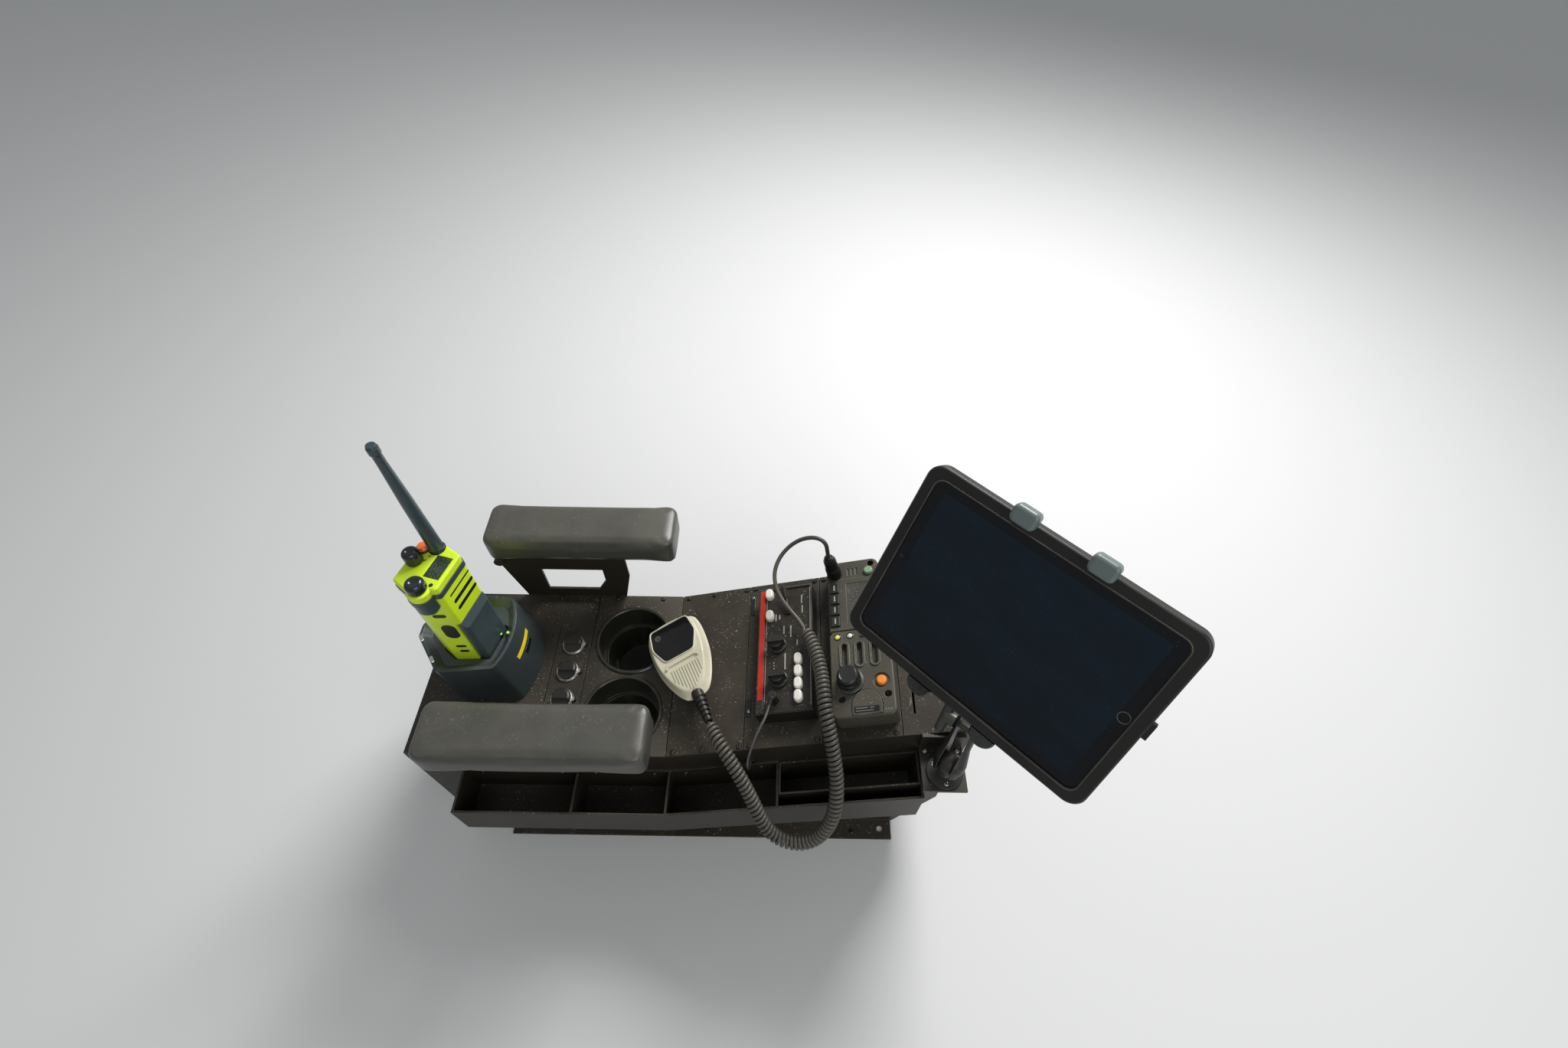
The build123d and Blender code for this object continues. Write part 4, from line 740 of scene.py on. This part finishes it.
def add_pads():
    """Both armrest pads, flat underneath and softly crowned on top, held inside the solid's box."""
    for side in ("left", "right"):
        node = "armrest_pad_" + side
        even, low, high = pad_mesh(node)
        data = swell(even)
        for vert in data.vertices:
            for k in range(3):
                vert.co[k] = min(max(vert.co[k], low[k]), high[k])
        pad = mesh_object("pad_" + side, data, "armrest_foam")
        finer = pad.modifiers.new("finer", "SUBSURF")
        finer.levels = finer.render_levels = 1
        place_piece(pad, "armrest_" + side, 180)
        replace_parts(pad, node)


add_pads()


# Screws of the deck, the tray and the devices; places in millimetres, s runs up the deck's slope
RAIL_Y = 102.5
WALL_Y = -109.6
FLANGE_Z = 3.0
SHELF_Z = 296.0


def deck_height(x):
    """Height of the deck at x, in millimetres."""
    return DECK_Z + max(0.0, x - KINK_X) * math.tan(SLOPE)


def add_screws():
    """Button-head screws on the deck's rails, the tray, the floor flanges, the devices and the mount."""
    rail = [(x, y, 0) for y in (RAIL_Y, -RAIL_Y) for x in (-322, -192, -146, -118, -58)]
    slope = [(s, y, 0) for y in (RAIL_Y, -RAIL_Y) for s in (8, 44, 88, 100, 178, 190, 264, 334)]
    repeat("deck_screws", "console", face_screw(3.1, 1.9, 1.2),
           spots_on(FLAT, rail) + spots_on(DECK, slope), "dark_screw")
    tray = [((x * MM, WALL_Y * MM, (deck_height(x) - 52) * MM), (0, -1, 0), 11.0 * k)
            for k, x in enumerate((-255, -160, -120, -50, -12, 78, 116, 232))]
    flange = [((x * MM, y * MM, FLANGE_Z * MM), (0, 0, 1), 0) for x in (-200, 0, 200) for y in (-124, 124)]
    repeat("tray_screws", "console", face_screw(3.4, 1.8, 1.2), tray + flange, "dark_screw")
    devices = spots_on(DECK, [(97.5, 89.5, 0), (97.5, -62.5, 0)])
    repeat("device_screws", "console", face_screw(2.2, 1.6, 1.0), devices, "bright_screw")
    shelf = spots_on(moved(0, 0, SHELF_Z), [(254, -116, 0), (288, -116, 0)])
    base = spots_on(moved(272, -138, SHELF_Z + 3),
                    [(13.5 * math.cos(t), 13.5 * math.sin(t), 0) for t in (0.5, 2.6, 4.7)])
    repeat("mount_screws", "console", face_screw(2.6, 1.8, 1.2), shelf + base, "bright_screw")


add_screws()


# Siren controller: heights above the deck; strokes and tabs as s, y, width and height, in millimetres
CONTROLLER_FACE = 23.5
CONTROLLER_RIM = 25.0
CONTROLLER_STROKES = (
    (166.6, 63.8, 1.6, 11.5), (167.4, 50, 1.6, 10.5), (134.9, 42, 1.7, 9.5), (139.5, 42.2, 1.7, 6),
    (145, 24.3, 1.7, 11), (153.4, 21.4, 1.8, 15.5), (161.2, 5.8, 1.5, 7.5), (146.9, -16.8, 1.5, 20.5),
    (133.6, -17.5, 1.2, 1.6), (133.6, -20.8, 1.2, 1.6), (133.9, -24.6, 1.2, 1.6))
CONTROLLER_LAMPS = ((161.7, 52.6), (165.1, -8.3), (152.5, -40.5))
CASE_TABS = ((97.5, 77, 5.5, 27), (97.5, -59, 5.5, 22))


def add_controller_marks():
    """Blank label strokes, a thin line beside the stripe, and a pale line along the far rim that is a painted
    highlight of its edge.
    """
    marks = Solids()
    for s, y, wide, tall in CONTROLLER_STROKES:
        marks.plate(DECK @ moved(s, y, CONTROLLER_FACE), (wide, tall), -0.1, 0.08, 0.4, 0.03)
    # Painted highlight: a pale thin line on the far rim's top edge, standing in for the light it catches.
    marks.plate(DECK @ moved(177.2, 3, CONTROLLER_RIM), (0.7, 152), -0.1, 0.12, 0.2, 0.05)
    marks.plate(DECK @ moved(123.4, 5, CONTROLLER_FACE), (0.6, 138), -0.1, 0.08, 0.2, 0.03)
    marks.done("controller_marks", "console", "white_buttons", "pale_print_and_highlight")


def add_controller_holes():
    """Dark lamps of the face, and the two flat tabs on the plate behind the case."""
    dark = Solids()
    for s, y in CONTROLLER_LAMPS:
        dark.lathe(DECK @ moved(s, y, CONTROLLER_FACE), ((2.0, -0.2), (2.0, 0.3), (1.5, 0.45), (1.4, -0.1)))
    for s, y, wide, tall in CASE_TABS:
        dark.plate(DECK @ moved(s, y), (wide, tall), -0.1, 0.9, 1.5, 0.3)
    dark.done("controller_holes", "console", "black_plastic", "glossy_black")


def add_toggle_tip():
    """Bright lever of the toggle switch, leaning forward."""
    tip = Solids()
    lever = ((16, 13.2, 1.3), (12, 11.6, 1.5), (4, 7.5, 1.5), (1.6, 5.2, 1.7), (0.6, 3.4, 2.2))
    tip.skin(DECK @ moved(151, 51, CONTROLLER_FACE),
             [[(x * w - 0.1 * y, y, z + u * w) for x, u in circle(8)] for y, z, w in lever])
    tip.done("toggle_tip", "console", "steel_pin", "bright_screw", 40)


add_controller_marks()
add_controller_holes()
add_toggle_tip()


# Radio control head; heights in millimetres above the deck
HEAD_FACE = 27.0
HEAD_LAMPS = (("lamp_yellow", 209.6, 3.6, "safety_yellow"), ("lamp_white", 224.1, 3.9, "white_buttons"),
              ("lamp_grey", 238.4, 4.0, "head_casting"))
HEAD_KNOB = DECK @ moved(222, -52)


def add_lamp_rings():
    """Rims of the lamps and of the hole in the head's ear, and the rings on the knob's top."""
    rings = Solids()
    for s, y, lift in [(s, y, HEAD_FACE) for _, s, y, _ in HEAD_LAMPS] + [(248, 90.5, 24)]:
        rings.lathe(DECK @ moved(s, y, lift), ((4.3, -0.3), (4.3, 0.35), (3.5, 0.7), (2.9, 0.5), (2.8, -0.1)))
    top = ((9.8, 45.1), (9.8, 45.75), (9.1, 45.95), (8.3, 45.6), (7.6, 45.3), (6.9, 45.55), (6.5, 45.2))
    rings.lathe(HEAD_KNOB, top, 32)
    rings.done("lamp_rings", "console", "black_plastic", "glossy_knob", 40)


def add_slot_lips():
    """Painted highlights: pale rims on the edge of the knob's skirt and on the three raised slots, standing
    in for the light they catch.
    """
    light = Solids()
    light.lathe(HEAD_KNOB, ((15.05, 29.4), (15.05, 30.05), (14.7, 30.35), (14.0, 30.3), (13.8, 29.9)), 36)
    for s in (217, 234, 251):
        light.strip(DECK @ moved(s, -20), rounded(10.4, 31.4, 5.2, 6), 0.9, 28.1, 28.6, True)
    light.done("slot_lips", "console", "head_casting", "pale_trim_and_highlight", 40)


def add_flap():
    """Arched dark band round the flap, painted shade for the groove there, and the flap's dark label."""
    groove = Solids()
    turns = [math.pi * k / 12 for k in range(13)]
    arch = [(239 - 16.6 * math.cos(t), -79.5 + 16.6 * math.sin(t)) for t in turns]
    # Painted shade: the groove is a flush dark band, not cut.
    groove.strip(DECK, [(223, -91)] + arch + [(255, -91)], 1.3, HEAD_FACE - 0.1, HEAD_FACE + 0.1)
    groove.plate(DECK @ moved(238.5, -85.8), (27, 7), 28.3, 28.48, 0.6, 0.05)
    groove.done("flap_groove", "console", "black_plastic", "glossy_black")


def add_head_lamps():
    """Domed lenses of the three lamps."""
    for name, s, y, slot in HEAD_LAMPS:
        lens = Solids()
        lens.lathe(DECK @ moved(s, y), ((2.8, 26.9), (2.7, 27.5), (2.1, 28.0), (1.1, 28.3), (0.2, 28.35)), 20)
        lens.done(name, "console", slot, name, 60)


def add_head_strokes():
    """Blank strokes on the keys, on the flap's label and beside it."""
    keys = Solids()
    for y in (70, 55, 40, 25):
        keys.plate(DECK @ moved(208, y), (1.6, 7.5), 27.4, 27.6, 0.5, 0.05)
    keys.done("key_strokes", "console", "white_buttons", "pale_print_and_highlight")
    label = Solids()
    for s, y, wide, tall in ((233, -84.2, 13, 1.2), (244, -84.2, 5, 1.2), (236, -87.2, 19, 1.0)):
        label.plate(DECK @ moved(s, y), (wide, tall), 28.4, 28.6, 0.4, 0.06)
    for k in range(3):
        label.plate(DECK @ moved(258.5 + 3 * k, -87), (1.8, 2.2), HEAD_FACE - 0.1, HEAD_FACE + 0.1, 0.4, 0.06)
    label.done("head_strokes", "console", "white_buttons", "label_faint")


def add_screen_border():
    """Raised border of the head's screen."""
    border = Solids()
    profile = ((43.6, 54.6, 23.6), (43.6, 54.6, 24.2), (40.6, 51.6, 23.9), (40.6, 51.6, 23.45))
    border.skin(DECK @ moved(244, 48.5), [level(rounded(w, h, 2), z) for w, h, z in profile], loop=True)
    border.done("screen_border", "console", "head_casting", "lcd_frame")


def add_knurls():
    """Ribs round the knob."""
    count, radius, middle = 36, 12.1, 37.5
    rib = Solids()
    profile = ((0.9, 10, -0.4), (0.9, 10, 0.25), (0.4, 9.4, 0.5))
    rib.skin(Matrix.Identity(4), [level(rounded(w, h, 0.3), z) for w, h, z in profile])
    places = []
    for turn in [2 * math.pi * k / count for k in range(count)]:
        spot = HEAD_KNOB @ (Vector((radius * math.cos(turn), radius * math.sin(turn), middle)) * MM)
        aim = (HEAD_KNOB.to_3x3() @ Vector((math.cos(turn), math.sin(turn), 0))).normalized()
        places.append((spot, aim, 90.0))
    repeat("knob_knurls", "console", rib.plain("knurl"), places, "black_plastic")


add_lamp_rings()
add_slot_lips()
add_flap()
add_head_lamps()
add_head_strokes()
add_screen_border()
add_knurls()


# Charger: lamps, contacts and blank labels, with places in millimetres in the part's own frame
CHARGER_LAMPS = ((-227, 8.5), (-219, 10.4))
CONTACTS = ((-314, -0.5, 36.9), (-293.5, -27.5, 36.9))


def charger_front(y, z, proud):
    """Place on the charger's bowed front, a little proud of it, in millimetres.

    The front leans back and narrows from its foot at 240 to its top at 315, and bows out by 12 in the middle.
    """
    share = (z - 240.0) / 75.0
    front = -197.3 - 13.2 * share
    half = 50.0 - 3.5 * share
    bow, middle = 12.0, 9.0
    radius = (half ** 2 + bow ** 2) / (2 * bow)
    return front - radius + math.sqrt(radius ** 2 - (y - middle) ** 2) + proud, y, z


def front_patch(made, y0, y1, z0, z1, proud, steps=12):
    """Thin patch that follows the charger's front."""
    rings = []
    for k in range(steps + 1):
        y = y0 + (y1 - y0) * k / steps
        rings.append([charger_front(y, z0, -0.1), charger_front(y, z0, proud), charger_front(y, z1, proud),
                      charger_front(y, z1, -0.1)])
    made.skin(Matrix.Identity(4), rings)


def add_charger_details():
    """Blank labels on the front, two status lamps on bosses, and charging contacts."""
    label = Solids()
    front_patch(label, -11, 27, 286, 292, 0.3)
    label.done("charger_label", "console", "safety_yellow", "label_yellow")
    dark = Solids()
    front_patch(dark, 2, 22, 275, 282, 0.25)
    for x, y in CHARGER_LAMPS:
        dark.lathe(moved(x, y), ((2.6, 306), (2.6, 310.2), (2.2, 310.8), (1.8, 310.6)))
    dark.done("charger_bosses", "console", "black_plastic", "glossy_black", 40)
    lamps = Solids()
    for x, y in CHARGER_LAMPS:
        lamps.lathe(moved(x, y), ((1.75, 310.2), (1.7, 311.2), (1.2, 311.8), (0.2, 312)), 16)
    lamps.done("charger_lamps", "console", "safety_yellow", "lamp_green", 60)
    contacts = Solids()
    for x, y, turn in CONTACTS:
        contacts.plate(moved(x, y, 0, turn), (4, 9), 312.5, 315.9, 1, 0.5)
    contacts.done("charger_contacts", "console", "steel_pin", "bright_screw", 40)


add_charger_details()


# Portable radio, in millimetres in the frame of its foot or its lid


def add_radio_details():
    """Antenna collar, button ring, marks beside the knobs, a small ring in the lid, and dark plates in the
    front slots as painted shade.
    """
    dark = Solids()
    dark.lathe(RADIO_LID @ moved(-10, 22.5), ((8.6, -0.1), (8.6, 1.2), (8.0, 2.2), (7.5, 2.4)), 32)
    button_ring = ((7.4, -0.1), (7.4, 1.6), (6.9, 2.1), (6.3, 1.9), (6.25, 0))
    dark.lathe(RADIO_LID @ moved(-23.5, 18.8), button_ring, 32)
    for x, y in ((-12, 12), (-14, 6), (-7, -20), (-11, -16)):
        dark.plate(RADIO_LID @ moved(x, y, 0, 35), (3.4, 1.1), -0.1, 0.12, 0.4, 0.04)
    dark.lathe(RADIO_LID @ moved(9, -18.5), ((2.1, -0.1), (2.1, 0.25), (1.6, 0.35), (1.45, -0.3)), 20)
    quarter = math.radians(90)
    front = RADIO @ moved(16.5, 4) @ Matrix.Rotation(quarter, 4, "Y") @ Matrix.Rotation(quarter, 4, "Z")
    # Painted shade: dark plates fill the three front slots and stand in for the shade inside them.
    for z, width in ((132, 5.2), (144, 5.2), (156, 2.4)):
        dark.plate(front @ moved(0, z), (34, width), -1.6, 0.15, width / 2, 0.12)
    dark.done("radio_trim", "portable_radio", "black_plastic", "black_plastic", 40)


add_radio_details()


# Hand microphone: outlines and heights in millimetres in its own frame
MIC_RIM = [(0, 56.5), (17, 55.5), (31, 51), (35.5, 36), (35.5, 14), (33.5, -8), (27, -30), (19, -47),
           (11, -56)]
MIC_CENTRE = (0, 5)
MIC_PANEL = [(24, 45), (27.5, 20), (18, -2.5)]
MIC_PANEL_CENTRE = (0, 21)
MIC_RIDGE, MIC_FOOT, MIC_TOP, MIC_FALL = -9, -56, 15, 8
MIC_WALL = [(0.30, -1), (0.78, -1), (0.83, -0.93), (0.93, -0.5), (0.985, -0.08), (1.0, -0.06), (1.0, 0.06),
            (0.98, 0.09), (0.93, 0.36), (0.895, 0.68), (0.87, 0.9), (0.85, 0.975), (0.825, 1.0)]


def mic_height(y):
    """Height of the microphone's face: level above its ridge, and falling from there to its foot."""
    return MIC_TOP - MIC_FALL * max(0.0, MIC_RIDGE - y) / (MIC_RIDGE - MIC_FOOT)


def add_mic_body():
    """Shell of scaled copies of the rim, from the back through the seam to the middle of the face.

    A ring's second number is its share of the face's height, or below zero, of the depth of the back.
    """
    rim = softened(mirrored(MIC_RIM)[1:], 99, 6)
    face = [(0.825 - 0.02 * k, 1.0) for k in range(1, 41)]
    rings = []
    for scale, share in MIC_WALL + face:
        outline = scaled(rim, MIC_CENTRE, scale)
        rings.append([(x, y, share * (MIC_TOP if share < 0 else mic_height(y))) for x, y in outline])
    shell = Solids()
    shell.skin(MIC, rings)
    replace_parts(shell.done("mic_body", "console", "mic_cream", "mic_cream", 40), "mic_shell")


def panel_rings(profile):
    """Rings of the talk panel's outline, from pairs of scale and height."""
    outline = softened(mirrored(MIC_PANEL), 5)
    return [level(scaled(outline, MIC_PANEL_CENTRE, scale), z) for scale, z in profile]


def add_mic_panel():
    """Lip round the panel, the ridge below it, and the dark panel."""
    lip = Solids()
    profile = ((1.07, 13.0), (1.065, 15.2), (1.045, 16.5), (1.02, 16.6), (1.0, 15.7), (0.99, 13.8))
    lip.skin(MIC, panel_rings(profile), loop=True)
    lip.strip(MIC, [(-21, -13), (-17, -9.5), (17, -9.5), (21, -13)], 3.0, 13.0, 16.7)
    lip.done("mic_lip", "console", "mic_cream", "mic_cream", 50)
    panel = Solids()
    profile = ((1.0, 13.5), (1.0, 15.5), (0.985, 15.8), (0.9, 15.95), (0.6, 16.15), (0.3, 16.25),
               (0.02, 16.28))
    panel.skin(MIC, panel_rings(profile))
    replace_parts(panel.done("talk_panel", "console", "mic_face", "mic_face", 30), "mic_panel")


def add_mic_badge():
    """Blank round badge: a ring with a dot in it."""
    badge = Solids()
    spot = MIC @ moved(-17, 33, 16.05)
    badge.lathe(spot, ((3.5, -0.2), (3.5, 0.08), (3.2, 0.14), (2.5, 0.14), (2.3, 0.02), (2.2, -0.2)))
    badge.lathe(spot, ((0.9, -0.2), (0.9, 0.08), (0.6, 0.12), (0.3, 0.12)), 12)
    badge.done("mic_badge", "console", "mic_face", "pale_trim_and_highlight", 40)


def add_mic_grooves():
    """Grooves of the falling face, as flush darker strips that are painted shade; the outer ones are shorter.
    """
    groove = Solids()
    tilt = math.atan2(MIC_FALL, MIC_RIDGE - MIC_FOOT)
    face = MIC @ moved(0, MIC_RIDGE, MIC_TOP) @ Matrix.Rotation(tilt, 4, "X")
    start, count, gap = -8, 11, 3.4
    for k in range(count):
        x = gap * (k - (count - 1) / 2)
        end = -42 + 1.1 * abs(x)
        groove.plate(face @ moved(x, (end + start) / 2), (1.0, start - end), -0.1, 0.1, 0.45, 0.04)
    groove.done("mic_grooves", "console", "mic_cream", "mic_groove")


add_mic_body()
add_mic_panel()
add_mic_badge()
add_mic_grooves()


# Tablet: details with heights in millimetres from the case's face


def add_tablet_details():
    """Home key's bright ring, front camera, and the raised inner lip of the case, whose lighter colour is a
    painted highlight.
    """
    ring = Solids()
    profile = ((5.4, -1.65), (5.4, -1.5), (5.1, -1.42), (4.75, -1.5), (4.7, -1.62))
    ring.lathe(TABLET @ moved(113.2, 0.8), profile, 36)
    ring.done("home_ring", "tablet", "steel_pin", "pale_trim_and_highlight", 40)
    lens = Solids()
    profile = ((2.0, -1.65), (2.0, -1.5), (1.3, -1.48), (0.9, -1.56), (0.2, -1.56))
    lens.lathe(TABLET @ moved(-114, 0), profile, 20)
    lens.done("tablet_camera", "tablet", "screen_glass", "glossy_black", 40)
    lip = Solids()
    profile = ((241.4, 170.4, 10.2, -0.2), (241.4, 170.4, 10.2, 0.5), (240.2, 169.2, 9.6, 0.9),
               (238.9, 167.9, 9.2, 0.5), (238.4, 167.4, 9.0, -1.55))
    lip.skin(TABLET, [level(rounded(w, h, r, 6), z) for w, h, r, z in profile], loop=True)
    lip.done("case_lip", "tablet", "tablet_case", "case_lip", 40)


add_tablet_details()


# Cords in place


def add_cords():
    """Curly cord, its straight tail, and the controller's lead."""
    wire = helix(COIL_ROUTE, COIL_DIAMETER, WIRE_DIAMETER, COIL_PITCH, COIL_RUN_OUT)
    curly = round_cord("curly_wire", wire, WIRE_DIAMETER, "cord_jacket", WIRE_RESOLUTION)
    tail = round_cord("tail_wire", TAIL_ROUTE, TAIL_DIAMETER, "cord_jacket")
    lead = round_cord("lead_wire", LEAD_ROUTE, LEAD_DIAMETER, "lead_jacket")
    for piece, node in ((curly, "curly_cord"), (tail, "cord_tail"), (lead, "siren_lead")):
        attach(piece, "console")
        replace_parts(piece, node)
    wire_length = length_of(line_of(wire, WIRE_RESOLUTION))
    length_of(line_of(TAIL_ROUTE))
    length_of(line_of(LEAD_ROUTE))


add_cords()


# Floor and light


def add_stage():
    """Pale floor just under the part, soft lamps and an even sky."""
    _, shader = new_finish("studio_floor")
    shader.inputs["Base Color"].default_value = (0.62, 0.62, 0.61, 1.0)
    shader.inputs["Roughness"].default_value = 0.8
    reach, below = 14.0, -0.0004
    mesh = bpy.data.meshes.new("studio_floor")
    mesh.from_pydata([(reach * x, reach * y, below) for x, y in circle(64)], [], [tuple(range(64))])
    floor = mesh_object("studio_floor", mesh, "studio_floor")
    world = bpy.data.worlds.new("sky")
    bpy.context.scene.world = world
    world.use_nodes = True
    world.node_tree.nodes["Background"].inputs["Color"].default_value = (0.92, 0.96, 1.0, 1.0)
    world.node_tree.nodes["Background"].inputs["Strength"].default_value = 0.35
    target = Vector((0.05, 0.0, 0.3))
    for name, place, size, power in (("window", (0.8, 1.3, 1.9), 1.0, 60.0),
                                     ("fill", (0.9, -1.6, 1.6), 1.4, 17.0)):
        lamp = bpy.data.lights.new(name, "AREA")
        lamp.size = size
        lamp.energy = power
        holder = link(bpy.data.objects.new(name, lamp))
        holder.location = place
        holder.rotation_euler = (target - Vector(place)).to_track_quat("-Z", "Y").to_euler()


add_stage()
bpy.context.scene.view_settings.view_transform = "Standard"
